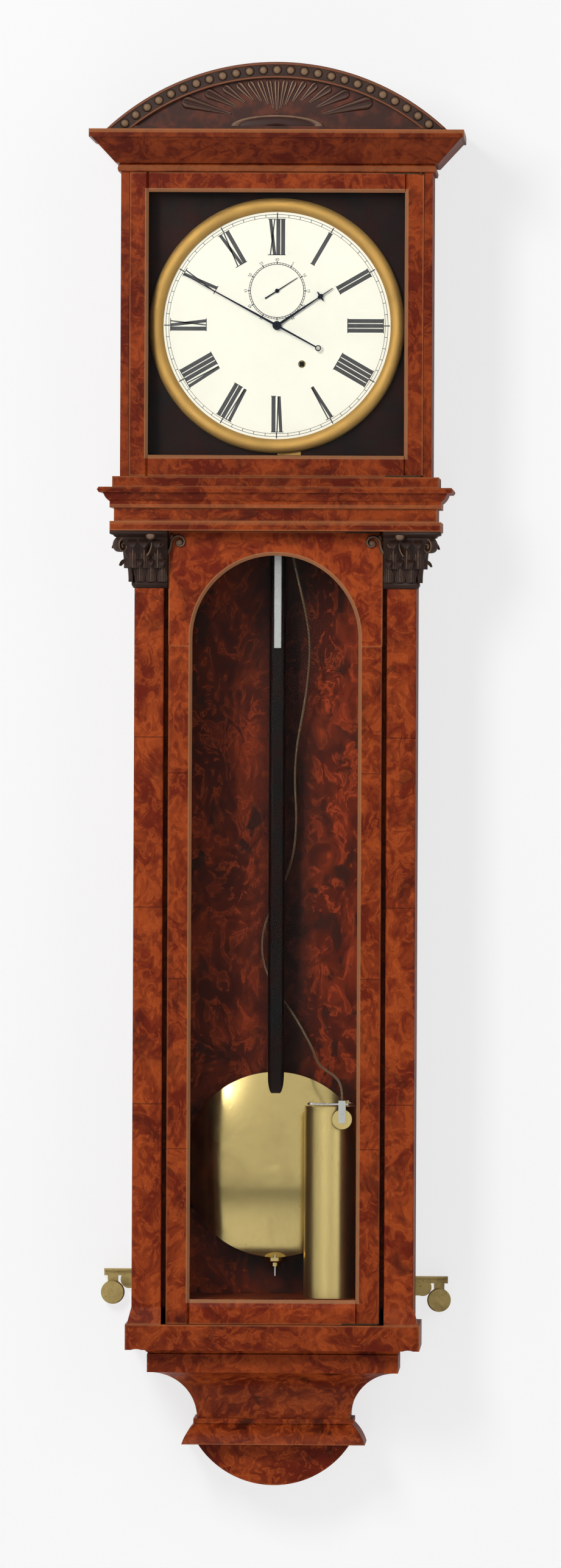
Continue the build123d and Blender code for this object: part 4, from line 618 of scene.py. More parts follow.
def metal(label, nodes, bright, dull, wear, roughness, scale=(1, 1, 1), dark_ahead=None, bright_half=None):
    """Lacquered or bright metal, put on the nodes.

    Arbor ends ahead of the depth dark_ahead are oxidised steel, and so is a strap beyond the half width
    bright_half of its polished face.
    """
    wire = blank_material(label, nodes)[1]
    aged = group_node(wire, "Aged metal", {"Vector": placed(wire, scale=scale), "Bright": rgba(bright),
                                           "Dull": rgba(dull), "Wear": wear, "Roughness": roughness})
    colour, part, soft = aged["Color"], wire.axes(placed(wire)), 0.0003
    if dark_ahead is not None:
        ahead = wire.fall(part[1], dark_ahead - soft, dark_ahead + soft)
        colour = wire.mix(ahead, colour, (0.016, 0.015, 0.016, 1.0))
    if bright_half is not None:
        beyond = wire.ramp(wire.math("ABSOLUTE", part[0]), bright_half - soft, bright_half + soft)
        colour = wire.mix(beyond, colour, (0.040, 0.038, 0.038, 1.0))
    wire.finish(colour, aged["Roughness"], aged["Height"], 0.08, 0.0004, metallic=1.0)


def carved(label, stain=None, pale_crest=None, spread=None, grain=90.0):
    """Dark stained carving, paler on its crests. spread fades the crests out at that distance from x = 0; on
    the fan the pale crests are a painted sheen, which this keeps to the middle rays.
    """
    material, wire = blank_material(label)
    place, tone = placed(wire), look("carving")
    crest = wire.node("ShaderNodeAttribute", attribute_name="crest").outputs["Fac"]
    cloud = wire.noise(place, grain, 5.0, 0.65)
    paling = wire.ramp(wire.plus(wire.times(crest, 0.85), wire.times(cloud, 0.45)), 0.32, 0.95)
    # Painted sheen: on the fan the pale crests stay only on the middle rays.
    if spread:
        away = wire.math("ABSOLUTE", wire.axes(place)[0])
        paling = wire.times(paling, wire.minus(1.0, wire.times(0.8, wire.ramp(away, 0.02, spread))))
    colour = wire.mix(paling, rgba(stain or tone.stain), rgba(pale_crest or tone.pale_crest))
    wire.finish(colour, wire.plus(0.38, wire.times(cloud, 0.2)), wire.noise(place, 3.0 * grain, 3.0, 0.6),
                0.2, 0.0006, specular=0.20)
    return material


# Operators


class REGULATOR_OT_case(bpy.types.Operator):
    """Veneers the case, pilasters, mouldings and doors"""

    bl_idname = "regulator.case"
    bl_label = "Veneer the case"

    def execute(self, context):
        arch_half, rebate, crown = 0.0928, 0.0050, 0.0265
        arch = (arch_half, level("trunk_door_glass", 2, 0) + rebate,
                level("trunk_door_rails", 2, 1) - crown - arch_half, True)
        stile, lower_rail, upper_rail = 0.0211, 0.0235, 0.0220
        low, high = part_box("hood_door_frame")
        square = (high[0] - stile, low[2] + lower_rail, high[2] - upper_rail, False)
        for number, side in enumerate(("left", "right")):
            veneer(f"pilaster veneer {number}", [f"pilaster_{side}"], (0.3 * number, 0.2, 0.13), burr=0.5,
                   joints=(-0.62, -0.81, -1.03), scale=(1, 1, 0.8))
        veneer("door stile veneer", ["trunk_door_stiles"], (0.7, 0.1, 0.4), light=0.95, burr=0.5,
               joints=(-0.66, -0.89, -1.08), scale=(1, 1, 0.8), opening=arch)
        veneer("door rail veneer", ["trunk_door_rails"], (0.2, 0.5, 0.9), light=1.1, burr=0.35, opening=arch)
        veneer("hood door veneer", ["hood_door_frame"], (0.15, 0.8, 0.7), light=0.88, burr=0.4,
               opening=square)
        collar, ledge, top = (level(node, 2, 1) for node in ("architrave", "waist_ledge", "cornice"))
        pale_bands = {"architrave": [(collar - 0.0040, collar, 0.30)],
                      "waist_ledge": [(ledge - 0.0240, ledge - 0.0190, 0.35)]}
        for number, name in enumerate(("architrave", "frieze", "waist_ledge", "hood_plinth", "base_block")):
            veneer(f"band veneer {number}", [name], (0.37 * number, 0.21, 0.6), light=0.85, burr=0.55,
                   scale=(0.8, 1, 1), bands=pale_bands.get(name, ()))
        # The cornice's veneer is darkened to 0.62: painted shade for its downward-facing front.
        veneer("cornice veneer", ["cornice"], (0.9, 0.3, 0.2), light=0.62, burr=0.25,
               bands=((top - 0.0042, top, 0.5), (top - 0.0455, top - 0.0395, 0.35)))
        for number, name in enumerate(("cavetto_bracket", "flare_moulding", "terminal_drop")):
            veneer(f"foot veneer {number}", [name], (0.5, 0.33 * number, 0.8), light=0.85, burr=0.8,
                   edge=0.35)
        for label, nodes, move, settings in (
            ("side veneer", "trunk_side_left trunk_side_right hood_side_left hood_side_right",
             (0.4, 0.2, 0.1), {"light": 0.8, "burr": 0.3}),
            # The backboard carries a painted shadow of the pendulum rod down its middle.
            ("back veneer", "backboard", (0.8, 0.6, 0.3),
             {"tint": (0.400, 0.046, 0.012), "light": 0.42, "burr": 1.6, "scale": (0.8, 1, 0.6),
              "painted_rod_shadow": (0.010, 0.014, 0.034)}),
            ("inner stain", "dial_mask", (0.1, 0.2, 0.5),
             {"tint": (0.030, 0.010, 0.010), "light": 0.10, "burr": 0.2}),
            ("floor stain", "trunk_floor", (0.1, 0.2, 0.5), {"light": 0.40, "burr": 0.3}),
            ("seat softwood", "seat_board", (0.1, 0.2, 0.5),
             {"tint": (0.35, 0.22, 0.11), "scale": (0.2, 1, 1), "burr": 0.0}),
            ("ebonised rod", "pendulum_rod", (0.1, 0.9, 0.5),
             {"tint": (0.050, 0.050, 0.052), "light": 0.05, "burr": 0.0}),
        ):
            veneer(label, nodes.split(), move, edge=0.0, **settings)
        return {"FINISHED"}


class REGULATOR_OT_glass(bpy.types.Operator):
    """Glazes both doors"""

    bl_idname = "regulator.glass"
    bl_label = "Glaze the doors"

    def execute(self, context):
        wire = blank_material("old sheet glass", ("hood_door_glass", "trunk_door_glass"))[1]
        ripple = wire.noise(placed(wire, scale=(1, 1, 0.35)), 9.0, 2.0, 0.5)
        wire.finish((0.96, 0.97, 0.95, 1.0), 0.0, ripple, 0.06, 0.002)
        wire.shader.inputs["IOR"].default_value = 1.09
        wire.shader.inputs["Transmission Weight"].default_value = 1.0
        clear = wire.node("ShaderNodeBsdfTransparent", {"Color": (0.93, 0.94, 0.92, 1.0)})
        shadow = wire.node("ShaderNodeLightPath").outputs["Is Shadow Ray"]
        wire.blend(shadow, wire.shader.outputs[0], clear.outputs[0])
        return {"FINISHED"}


# Radius that the ticks of the seconds ring stand on, in metres
SECONDS_RING = 0.0301
NUMERALS = ("XII", "I", "II", "III", "IIII", "V", "VI", "VII", "VIII", "IX", "X", "XI")


def stroke(x0, z0, x1, z1, width):
    """Corners of a straight stroke of one width, with level ends."""
    half = width / 2
    return ((x0 - half, z0), (x0 + half, z0), (x1 + half, z1), (x1 - half, z1))


def numeral_strokes(text, height, thick, thin):
    """Strokes of a Roman numeral that stands on z = 0, centred on x = 0, with hairline serifs."""
    widths = {"I": thick * 1.19, "V": thick * 1.55, "X": thick * 1.66}
    left = -sum(widths[letter] for letter in text) / 2
    found = []
    for letter in text:
        wide = widths[letter]
        middle = left + wide / 2
        arm = wide / 2 - thick * 0.30
        if letter == "I":
            found.append(stroke(middle, 0, middle, height, thick))
            feet = ((middle, 0.0), (middle, height))
        elif letter == "V":
            found.append(stroke(middle, 0, middle - arm, height, thick * 0.8))
            found.append(stroke(middle + thick * 0.2, 0, middle + arm, height, thin * 1.6))
            feet = ((middle - arm, height), (middle + arm, height))
        else:
            found.append(stroke(middle + arm, 0, middle - arm, height, thick * 0.8))
            found.append(stroke(middle - arm, 0, middle + arm, height, thin * 1.6))
            feet = ((middle + arm, 0.0), (middle - arm, 0.0), (middle - arm, height), (middle + arm, height))
        found += [stroke(x, z - thin / 2, x, z + thin / 2, thick * 1.3) for x, z in feet]
        left += wide
    return found


def turned(corners, radius, degrees, middle):
    """Carries marks drawn upright out to a radius and round the dial, clockwise from the top."""
    corners = np.asarray(corners, dtype=float)
    sine, cosine = math.sin(math.radians(degrees)), math.cos(math.radians(degrees))
    x, z = corners[..., 0], corners[..., 1] + radius
    return np.stack((middle[0] + x * cosine + z * sine, middle[1] - x * sine + z * cosine), axis=-1)


# Each digit as straight strokes on a grid 2 wide and 4 high
DIGITS = {
    "0": ((0, 1, 0, 3), (0, 3, 1, 4), (1, 4, 2, 3), (2, 3, 2, 1), (2, 1, 1, 0), (1, 0, 0, 1)),
    "1": ((0.4, 3.2, 1.1, 4), (1.1, 4, 1.1, 0)),
    "2": ((0, 3.2, 0.8, 4), (0.8, 4, 2, 3.1), (2, 3.1, 0, 0), (0, 0, 2, 0)),
    "3": ((0, 4, 2, 4), (2, 4, 0.9, 2.4), (0.9, 2.4, 2, 1.2), (2, 1.2, 1, 0), (1, 0, 0, 0.5)),
    "4": ((1.5, 4, 0, 1.2), (0, 1.2, 2, 1.2), (1.5, 2.2, 1.5, 0)),
    "5": ((1.8, 4, 0.3, 4), (0.3, 4, 0.2, 2.4), (0.2, 2.4, 1.6, 2.3), (1.6, 2.3, 1.8, 0.9),
          (1.8, 0.9, 0, 0.1)),
    "6": ((1.7, 4, 0.2, 1.8), (0.2, 1.8, 0.3, 0.3), (0.3, 0.3, 1.7, 0.2), (1.7, 0.2, 1.7, 1.8),
          (1.7, 1.8, 0.3, 1.9)),
}


def digit_strokes(text, height, width):
    """Small plain figures centred on x = 0 and z = 0."""
    unit = height / 4
    advance = 2.9 * unit
    left = -(advance * len(text) - 0.9 * unit) / 2
    found = []
    for number, letter in enumerate(text):
        for x0, z0, x1, z1 in DIGITS[letter]:
            start = np.array((left + number * advance + x0 * unit, z0 * unit - height / 2))
            end = np.array((left + number * advance + x1 * unit, z1 * unit - height / 2))
            run = end - start
            aside = np.array((-run[1], run[0])) / (np.hypot(*run) + 1e-9) * width / 2
            found.append((start + aside, end + aside, end - aside, start - aside))
    return found


class REGULATOR_OT_dial(bpy.types.Operator):
    """Enamels the dial and prints its numerals, minute track and seconds ring"""

    bl_idname = "regulator.dial"
    bl_label = "Print the dial"

    def execute(self, context):
        dial = look("dial")
        wire = blank_material("white enamel", ["dial"])[1]
        place = placed(wire)
        cloud = wire.noise(place, 9.0, 5.0, 0.6)
        crazing = wire.node("ShaderNodeTexVoronoi", {"Vector": place, "Scale": 70.0},
                            feature="DISTANCE_TO_EDGE")
        lines = wire.fall(crazing.outputs["Distance"], 0.0, 0.012)
        colour = wire.mix(wire.ramp(cloud, 0.35, 0.75), rgba(dial.ground), rgba(dial.ground, 0.95))
        colour = wire.mix(wire.times(lines, 0.05), colour, (0.4, 0.33, 0.22, 1.0))
        wire.finish(colour, wire.plus(0.16, wire.times(cloud, 0.10)), cloud, 0.05, 0.0006, specular=0.30)

        fired, wire = blank_material("fired black")
        grain = wire.noise(placed(wire), 600.0, 3.0, 0.6)
        wire.finish(wire.mix(grain, rgba(dial.ink), rgba(dial.ink, 2.2)),
                    wire.plus(0.25, wire.times(grain, 0.15)))

        seconds_up, lift, print_depth = 0.0388, 0.00006, 0.00005
        seconds = (DIAL_MIDDLE[0], DIAL_MIDDLE[1] + seconds_up)
        front = DIAL_FRONT - lift
        shells = [strips(np.concatenate(self.marks(dial, seconds)), front, print_depth)]
        for inner, outer, middle in ((dial.track - 0.0006, dial.track, DIAL_MIDDLE),
                                     (dial.track - 0.0037, dial.track - 0.0032, DIAL_MIDDLE),
                                     (SECONDS_RING - 0.0008, SECONDS_RING, seconds),
                                     (SECONDS_RING + 0.0011, SECONDS_RING + 0.0017, seconds)):
            shells.append(ring_solid(inner, outer, front, print_depth, middle))
        make_piece("dial_print", shells, fired, smooth=False)
        return {"FINISHED"}

    def marks(self, dial, seconds):
        """Numerals, minute ticks, and the ticks and figures round the middle of the seconds ring."""
        found, height = [], dial.numeral_outer - dial.numeral_inner
        for hour, text in enumerate(NUMERALS):
            strokes = numeral_strokes(text, height, dial.stroke, dial.hairline)
            found.append(turned(strokes, dial.numeral_inner, 30 * hour, DIAL_MIDDLE))
        for minute in range(60):
            if minute % 5:
                low, tall, wide = dial.track - 0.0035, 0.0035, 0.0007
            else:
                low, wide = dial.numeral_outer + 0.0005, 0.0013
                tall = dial.track + 0.0018 - low
            found.append(turned([stroke(0, 0, 0, tall, wide)], low, 6 * minute, DIAL_MIDDLE))
        for second in range(60):
            tall, wide = (0.0014, 0.0006) if second % 5 else (0.0030, 0.0012)
            found.append(turned([stroke(0, 0, 0, tall, wide)], SECONDS_RING, 6 * second, seconds))
        for number in range(1, 13):
            figures = digit_strokes(str(5 * number), 0.0030, 0.00048)
            found.append(turned(figures, SECONDS_RING + 0.0051, 30 * number, seconds))
        return found


class REGULATOR_OT_metal(bpy.types.Operator):
    """Finishes the brass, steel and blued metalwork"""

    bl_idname = "regulator.metal"
    bl_label = "Finish the metal"

    def execute(self, context):
        brass, tarnish = look("metal").brass, look("metal").tarnish
        arbor_front = DIAL_FRONT + 0.006
        for label, nodes, bright, dull, wear, roughness, settings in (
            ("bezel brass", "dial_bezel", (0.450, 0.275, 0.085), tarnish, 0.30, 0.72, {}),
            ("bob brass", "bob rating_nut", brass, tarnish, 0.30, 0.12, {}),
            ("weight brass", "weight pulley_wheel", brass, tarnish, 0.35, 0.30, {"scale": (1, 1, 0.2)}),
            ("movement brass", "back_plate front_plate barrel great_wheel third_wheel minute_wheel "
             "hour_wheel centre_wheel escape_wheel hanger_plate", brass, tarnish, 0.3, 0.26,
             {"dark_ahead": arbor_front}),
            ("blackened pivots", "hood_door_pivots trunk_door_pivots", (0.060, 0.035, 0.020),
             (0.020, 0.012, 0.008), 0.6, 0.5, {}),
            ("stay brass", "stay_brackets stay_screw_left stay_screw_right", (0.430, 0.330, 0.130),
             (0.120, 0.080, 0.030), 0.8, 0.42, {}),
            ("bright steel", "pallets suspension_spring weight_bail pulley_stirrup", (0.56, 0.56, 0.55),
             (0.22, 0.20, 0.18), 0.3, 0.24, {}),
            ("strap steel", "pendulum_steelwork", (0.52, 0.52, 0.52), (0.22, 0.20, 0.18), 0.3, 0.24,
             {"bright_half": 0.0038}),
            ("blued steel", "minute_hand hour_hand seconds_hand", (0.014, 0.016, 0.028),
             (0.008, 0.008, 0.010), 0.5, 0.3, {}),
        ):
            metal(label, nodes.split(), bright, dull, wear, roughness, **settings)
        return {"FINISHED"}


class REGULATOR_OT_pediment(bpy.types.Operator):
    """Carves the fan, the pellets and the mouldings of the pediment"""

    bl_idname = "regulator.pediment"
    bl_label = "Carve the pediment"

    def execute(self, context):
        low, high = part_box("pediment")
        half, rise = high[0], high[2] - low[2]
        radius = (half**2 + rise**2) / (2 * rise)
        centre_z = high[2] - radius
        fan_low, fan_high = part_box("fan_carving")
        ground, border, border_depth = fan_high[1], 0.018, 0.006
        self.stain(radius, centre_z, border)
        self.pellets(radius, centre_z, low[2], ground - border_depth)
        self.fan(radius - border, centre_z, ground, fan_low[2])
        return {"FINISHED"}

    def stain(self, radius, centre_z, border):
        """Dark pellet band, redder tympanum and a thin warm rim, by the distance from the arc's centre."""
        wire = blank_material("pediment stain", ["pediment"])[1]
        place = placed(wire)
        part = wire.axes(place)
        reach = wire.length(part[0], wire.minus(part[2], centre_z))
        cloud = wire.noise(place, 40.0, 5.0, 0.65)
        stain = rgba(look("carving").stain)
        colour = wire.mix(wire.ramp(cloud, 0.40, 0.70), stain, (0.055, 0.022, 0.012, 1.0))
        red = wire.mix(wire.ramp(cloud, 0.42, 0.66), (0.040, 0.012, 0.007, 1.0), (0.110, 0.026, 0.012, 1.0))
        soft, rim_width = 0.0005, 0.0031
        inside, rim_start = radius - border, radius - rim_width
        colour = wire.mix(wire.fall(reach, inside - soft, inside + soft), colour, red)
        rim = wire.ramp(reach, rim_start - soft, rim_start + soft)
        colour = wire.mix(rim, colour, (0.170, 0.050, 0.022, 1.0))
        wire.finish(colour, wire.plus(0.36, wire.times(cloud, 0.2)), wire.noise(place, 240.0, 3.0, 0.6),
                    0.2, 0.0006, specular=0.20)

    def pellets(self, radius, centre_z, sill, face):
        """Domed pellets along the middle of the border, between two half-round beads."""
        count, pellet, lowest, arc = 25, (0.0053, 0.0032, 0.0053), sill + 0.0065, radius - 0.009
        end = math.acos((lowest - centre_z) / arc)
        shells = [dome_shell((arc * math.sin(turn), face, centre_z + arc * math.cos(turn)), pellet)
                  for turn in np.linspace(-end, end, count)]
        make_piece("pediment_pellets", shells, carved("pellet bronze", pale_crest=(0.210, 0.125, 0.068)))
        inner, outer = (radius - 0.0166, 0.0013), (radius - 0.0019, 0.0015)
        beads = [arc_bead(reach, centre_z, math.acos((sill + thick - centre_z) / reach), face, thick)
                 for reach, thick in (inner, outer)]
        stain = carved("bead stain", (0.060, 0.018, 0.009), (0.190, 0.070, 0.034))
        make_piece("pediment_beads", beads, stain)

    def fan(self, rim, centre_z, ground, floor):
        """Fan of fluted rays over a stepped hub.

        A ray widens evenly from root to tip and ends in a half circle. Its section is an arch with a
        hollow along the middle, a bell curve in the distance from its centre line, so that each ray
        shows two crests.
        """
        count, spread, gap = 15, math.radians(150.0), 0.002
        hub_half, hub_rise, root_rise, root_half, ray_height = 0.052, 0.0125, 0.015, 0.0012, 0.0034
        root, drop = np.array((0.0, ground, floor)), floor - centre_z
        v = np.linspace(0.0, 1.0, 60)
        u, lift = round_section(40)
        shells = []
        for lean in np.linspace(-spread / 2, spread / 2, count):
            sine, cosine = math.sin(lean), math.cos(lean)
            start = math.hypot(hub_half * sine, root_rise * cosine) + gap
            down = drop * cosine
            reach = math.sqrt(down**2 + (rim - gap) ** 2 - drop**2) - down
            tip = 0.80 * reach * spread / count / 2
            out = start + v * (reach - start)
            straight = root_half + (tip - root_half) * (out - start) / (reach - tip - start)
            past = np.clip((out - reach + tip) / tip, 0.0, 0.999)
            half = np.where(past > 0, tip * np.sqrt(1 - past**2), straight)
            hollow = 1 - 0.55 * np.exp(-(u / 0.34) ** 2) * (half / tip)[:, None]
            arch = ray_height * np.clip(half / tip, 0.25, 1.0)[:, None] * np.clip(lift, -0.1, 1) * hollow
            crest = np.clip(lift, 0, 1) * np.exp(-((np.abs(u) - 0.62) / 0.26) ** 2)
            centre = root + out[:, None] * np.array((sine, 0.0, cosine))
            shells.append(tube(centre, (cosine, 0.0, -sine), FORWARD, half[:, None] * u, arch, crest))
        share, height = np.array((
            (0.0, 0.0046), (0.30, 0.0044), (0.55, 0.0040), (0.70, 0.0034), (0.76, 0.0030), (0.80, 0.0024),
            (0.84, 0.0030), (0.90, 0.0038), (0.94, 0.0038), (0.98, 0.0030), (1.0, 0.0018), (1.0, -0.0002),
            (0.0, -0.0002))).T
        swing = np.linspace(0.0, math.pi, 73)
        side = np.stack((hub_half * np.cos(swing), 0 * swing, hub_rise * np.sin(swing)), axis=-1)
        crest = np.clip(height / height[0], 0, 1) * (share > 0.8) * 0.8
        shells.append(tube(root + 0 * side, side, FORWARD, share, height, crest))
        # The fan's pale crest colour is a painted sheen, kept to the middle rays.
        stain = carved("fan stain and painted sheen", (0.036, 0.012, 0.008), (0.330, 0.200, 0.130), spread=0.075)
        make_piece("fan_rays", shells, stain, stands_for=["fan_carving"])


class REGULATOR_OT_capitals(bpy.types.Operator):
    """Carves the capitals and the scrolls on the trunk door"""

    bl_idname = "regulator.capitals"
    bl_label = "Carve the capitals"

    def execute(self, context):
        stain = carved("capital stain", grain=160.0)
        for word, side in (("left", -1), ("right", 1)):
            self.capital(stain, word, side)
            self.door_scroll(stain, word, side)
        return {"FINISHED"}

    def capital(self, stain, word, side):
        """Bell and abacus wrapped round the corner, two rows of leaves, a corner volute and an inner one."""
        low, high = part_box(f"capital_{word}")
        near, far = sorted((abs(low[0]), abs(high[0])))
        spread, wing, base, top = 0.0271, 0.023, low[2], high[2]
        edge, front, wrap = far - spread, low[1] + spread, high[1]
        bell = [(base + share * (top - base), out) for share, out in (
            (0.0, 0.0012), (0.03, 0.0024), (0.05, 0.0032), (0.08, 0.0034), (0.11, 0.0030), (0.125, 0.0018),
            (0.30, 0.0046), (0.50, 0.0082), (0.66, 0.0124), (0.78, 0.0166), (0.86, 0.0198), (0.885, 0.0204))]
        lip = [(top - down, out) for down, out in (
            (0.0075, 0.0205), (0.0066, 0.0222), (0.0050, 0.0236), (0.0042, 0.0262), (0.0036, spread),
            (0.0, spread))]
        shells = [wrap_block(side, levels, near, edge, front, front + wing, wrap, soft)
                  for levels, soft in ((bell, 0.004), (lip, 0.002))]
        middle = (near + edge) / 2
        outer_way, inner_way = (float(side), 0.0, 0.0), (-float(side), 0.0, 0.0)

        def ahead(step, out, up, wide, tall):
            shells.append(leaf_shell((side * (middle + step), front - out, base + up), FORWARD, wide, tall))

        def aside(step, out, up, wide, tall):
            shells.append(leaf_shell((side * (edge + out), front + step, base + up), outer_way, wide, tall))

        low_row, low_tall, high_row, high_tall, high_pitch = 0.006, 0.025, 0.021, 0.031, 0.0150
        for step in (-1, 0, 1):
            ahead(step * 0.0125, 0.0034, low_row, 0.0142, low_tall)
            aside(0.008 + step * 0.0115, 0.0034, low_row, 0.0120, low_tall)
        for step in (-0.5, 0.5, 1.35):
            ahead(step * high_pitch, 0.0084, high_row, 0.0172, high_tall)
        for step in (-0.5, 0.5):
            aside(0.010 + step * high_pitch, 0.0088, high_row, 0.0165, high_tall)
        slant = 1 / math.sqrt(2)
        eye = (side * (edge + 0.0146), front - 0.0146, top - 0.0174)
        inner_eye = (side * (near + 0.0095), front - 0.0140, top - 0.0140)
        shells += [scroll_shell(eye, (side * slant, -slant, 0.0), 0.0124, 0.018, 0.0120, 0.0044),
                   dome_shell(eye, (0.0036, 0.0036, 0.0030)),
                   scroll_shell(inner_eye, inner_way, 0.0080, 0.014, 0.0060, 0.0034),
                   dome_shell((side * middle, front - 0.0245, top - 0.0060), (0.0058, 0.0024, 0.0046))]
        make_piece(f"capital_leaves_{word}", shells, stain, stands_for=[f"capital_{word}"])

    def door_scroll(self, stain, word, side):
        """Scroll in low relief that carries a capital's inner volute over the joint of the door."""
        outer, face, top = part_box("trunk_door_volutes")[1]
        eye = (side * (outer - 0.0120), face - 0.0016, top - 0.0108)
        shells = [scroll_shell(eye, (-float(side), 0.0, 0.0), 0.0092, 0.0125, 0.0032, 0.0050, turns=1.6),
                  dome_shell((eye[0], face - 0.0002, eye[2]), (0.0042, 0.0034, 0.0042)),
                  dome_shell((side * (outer - 0.0030), face, top - 0.0060), (0.0028, 0.0026, 0.0058))]
        make_piece(f"door_scroll_{word}", shells, stain, "trunk_door",
                   stands_for=["trunk_door_volutes"] if side < 0 else ())


# Route of the gut line, in metres: the same points as in the model's source
LINE_ROUTE = (
    (0.0044, -0.1000, -0.2025), (0.0052, -0.1000, -0.2505), (0.0060, -0.0995, -0.3005),
    (0.0090, -0.0980, -0.3520), (0.0140, -0.0970, -0.3980), (0.0230, -0.0940, -0.4400),
    (0.0320, -0.0800, -0.4780), (0.0370, -0.0600, -0.5120), (0.0350, -0.0420, -0.5480),
    (0.0290, -0.0310, -0.5900), (0.0210, -0.0270, -0.6300), (0.0190, -0.0280, -0.6700),
    (0.0220, -0.0270, -0.7150), (0.0180, -0.0260, -0.7570), (0.0030, -0.0270, -0.7950),
    (-0.0120, -0.0260, -0.8240), (-0.0180, -0.0270, -0.8560), (-0.0120, -0.0280, -0.8860),
    (0.0040, -0.0280, -0.9120), (0.0210, -0.0300, -0.9350), (0.0340, -0.0370, -0.9580),
    (0.0410, -0.0540, -0.9700), (0.0450, -0.0750, -0.9790), (0.0500, -0.0940, -0.9870),
    (0.0580, -0.1100, -0.9930), (0.0675, -0.1230, -0.9980), (0.0744, -0.1306, -1.0065),
    (0.0766, -0.1325, -1.0168), (0.0766, -0.1325, -1.0259),
)


class REGULATOR_OT_line(bpy.types.Operator):
    """Hangs the slack gut line from the barrel to the pulley"""

    bl_idname = "regulator.line"
    bl_label = "Hang the line"

    def execute(self, context):
        radius = look("metal").line_radius
        curve = bpy.data.curves.new("gut_line", "CURVE")
        curve.dimensions = "3D"
        spline = curve.splines.new("NURBS")
        spline.points.add(len(LINE_ROUTE) - 1)
        for point, place in zip(spline.points, LINE_ROUTE):
            point.co = (*place, 1.0)
        spline.order_u = 3
        spline.use_endpoint_u = True
        curve.bevel_depth = radius
        curve.bevel_resolution = 3
        curve.use_fill_caps = True
        curve.resolution_u = 10
        material, wire = blank_material("twisted gut")
        part = wire.axes(placed(wire))
        lay = wire.plus(wire.times(part[2], 2600.0), wire.times(wire.plus(part[0], part[1]), 1900.0))
        twist = wire.math("SINE", lay)
        colour = wire.mix(wire.ramp(twist, -1.0, 1.0), (0.040, 0.022, 0.010, 1.0), (0.150, 0.086, 0.038, 1.0))
        wire.finish(colour, wire.plus(0.5, wire.times(twist, 0.08)), twist, 0.5, 0.0004)
        curve.materials.append(material)
        line = bpy.data.objects.new("gut_line", curve)
        context.collection.objects.link(line)
        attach(line, "case")
        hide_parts("weight_line")
        return {"FINISHED"}


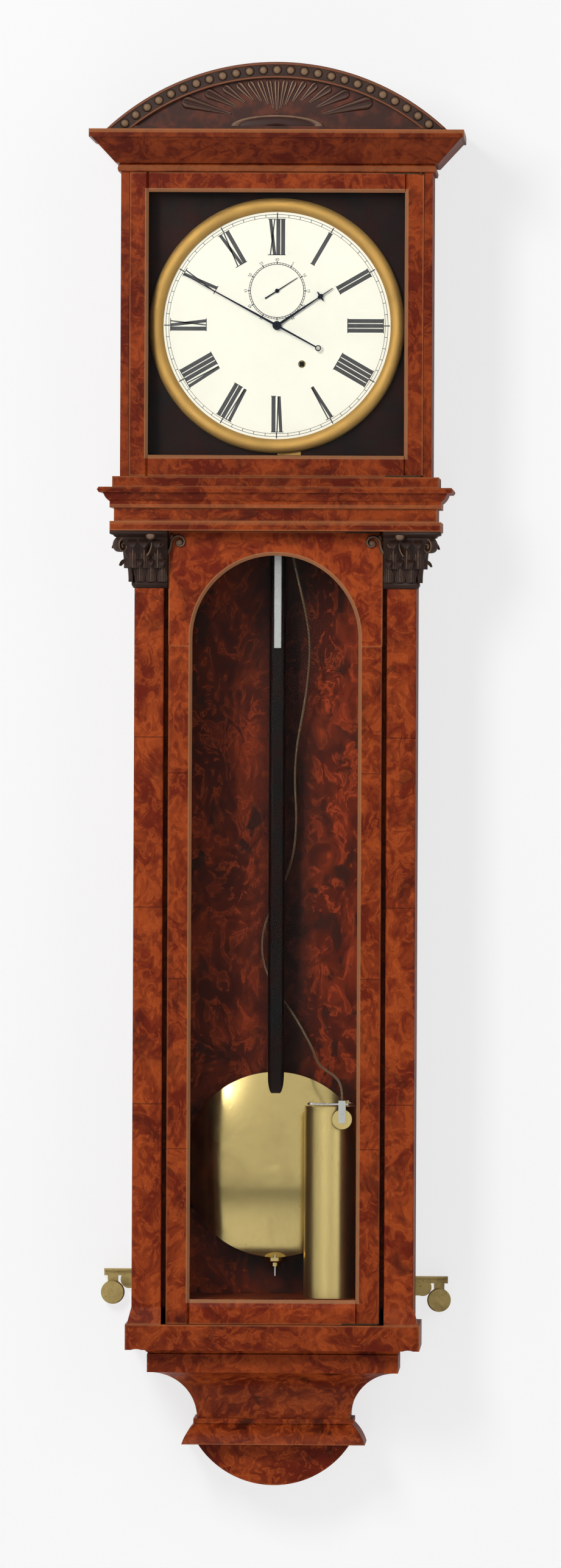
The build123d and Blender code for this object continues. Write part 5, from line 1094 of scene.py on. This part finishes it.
class REGULATOR_OT_stage(bpy.types.Operator):
    """Puts up the wall, floor, lights and camera"""

    bl_idname = "regulator.stage"
    bl_label = "Set the stage"

    def execute(self, context):
        context.scene.view_settings.view_transform = "Standard"
        self.room(context)
        self.light(context)
        self.camera(context)
        return {"FINISHED"}

    def room(self, context):
        """Wall and floor that glow a little for the camera and are clear from behind and to lamps."""
        pale, wire = blank_material("pale plaster")
        wire.finish((0.93, 0.93, 0.935, 1.0), 0.9)
        glow = wire.node("ShaderNodeEmission", {"Color": (0.97, 0.97, 0.97, 1.0)}).outputs[0]
        clear = wire.node("ShaderNodeBsdfTransparent").outputs[0]
        facing = wire.node("ShaderNodeNewGeometry").outputs["Backfacing"]
        path = wire.node("ShaderNodeLightPath").outputs
        glow_share = 0.75
        lit = wire.blend(wire.times(path["Is Camera Ray"], glow_share), wire.shader.outputs[0], glow)
        wire.blend(wire.most(facing, path["Is Shadow Ray"]), lit, clear)
        wall, floor, top, reach = 0.004, -2.1, 4.0, 6.0
        for name, corners in (
            ("wall", ((-reach, wall, floor), (reach, wall, floor), (reach, wall, top), (-reach, wall, top))),
            ("floor", ((-reach, -reach, floor), (reach, -reach, floor), (reach, wall, floor),
                       (-reach, wall, floor))),
        ):
            mesh = bpy.data.meshes.new(name)
            mesh.from_pydata(corners, [], [(0, 1, 2, 3)])
            mesh.materials.append(pale)
            plane = bpy.data.objects.new(name, mesh)
            context.collection.objects.link(plane)

    def light(self, context):
        """Dim white surroundings that only the camera, mirrors and glass see bright, and three area lamps."""
        world = bpy.data.worlds.new("studio")
        context.scene.world = world
        world.use_nodes = True
        background = world.node_tree.nodes["Background"]
        background.inputs["Color"].default_value = (1.0, 1.0, 1.0, 1.0)
        sky = Wiring(world.node_tree)
        path = sky.node("ShaderNodeLightPath").outputs
        seen = sky.times(sky.most(path["Is Camera Ray"], path["Is Glossy Ray"], path["Is Transmission Ray"]),
                         sky.math("LESS_THAN", path["Diffuse Depth"], 0.5))
        ambient, backdrop = 0.17, 0.65
        sky.feed(background.inputs["Strength"], sky.plus(ambient, sky.times(seen, backdrop)))
        for name, place, size, power, aim_z in (
            ("key", (-1.4, -3.2, 0.9), (0.7, 1.4), 87.0, -0.6),
            ("fill", (1.9, -3.0, 0.2), (1.6, 2.4), 18.0, -0.7),
            ("behind", (-1.0, 3.2, 0.4), (1.6, 2.4), 70.0, -0.7),
        ):
            lamp = bpy.data.lights.new(name, "AREA")
            lamp.shape = "RECTANGLE"
            lamp.size, lamp.size_y = size
            lamp.energy = power
            holder = bpy.data.objects.new(name, lamp)
            holder.location = place
            towards = Vector((0, 0, aim_z)) - Vector(place)
            holder.rotation_euler = towards.to_track_quat("-Z", "Y").to_euler()
            context.collection.objects.link(holder)

    def camera(self, context):
        """Camera at the photo's angle, turned by the small lean of the clock in it."""
        lens = bpy.data.cameras.new("camera")
        camera = bpy.data.objects.new("camera", lens)
        context.collection.objects.link(camera)
        context.scene.camera = camera
        photo_height, metres_per_pixel = 2576, 0.00068
        distance, azimuth, rise, roll = 14.0, math.radians(1.6), math.radians(0.5), math.radians(0.26)
        aim = Vector((0.0066, -0.15, -0.6718))
        level_part = math.cos(rise)
        back = Vector((math.sin(azimuth) * level_part, -math.cos(azimuth) * level_part, math.sin(rise)))
        camera.location = aim + back * distance
        camera.rotation_euler = ((-back).to_track_quat("-Z", "Y") @ Quaternion((0, 0, 1), roll)).to_euler()
        lens.sensor_width = 36.0
        lens.lens = lens.sensor_width * distance / (photo_height * metres_per_pixel)


class REGULATOR_PT_panel(bpy.types.Panel):
    """Lists the steps and the sizes and colours they use"""

    bl_idname = "REGULATOR_PT_panel"
    bl_label = "Regulator"
    bl_space_type = "VIEW_3D"
    bl_region_type = "UI"
    bl_category = "Regulator"

    def draw(self, context):
        for kind, group in LOOKS.items():
            box = self.layout.box()
            for name in group.__annotations__:
                box.prop(look(kind), name)
        for step in STEPS:
            self.layout.operator(step.bl_idname)


STEPS = (REGULATOR_OT_stage, REGULATOR_OT_line, REGULATOR_OT_case, REGULATOR_OT_glass, REGULATOR_OT_dial,
         REGULATOR_OT_metal, REGULATOR_OT_pediment, REGULATOR_OT_capitals)


def register():
    for kind, group in LOOKS.items():
        bpy.utils.register_class(group)
        setattr(bpy.types.Scene, f"{kind}_look", bpy.props.PointerProperty(type=group))
    for kind in (*STEPS, REGULATOR_PT_panel):
        bpy.utils.register_class(kind)


def unregister():
    for kind in reversed((*STEPS, REGULATOR_PT_panel)):
        bpy.utils.unregister_class(kind)
    for kind, group in reversed(LOOKS.items()):
        delattr(bpy.types.Scene, f"{kind}_look")
        bpy.utils.unregister_class(group)


def main():
    """Registers the add-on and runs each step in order."""
    register()
    for step in STEPS:
        area, action = step.bl_idname.split(".")
        getattr(getattr(bpy.ops, area), action)()


if __name__ == "__main__":
    main()
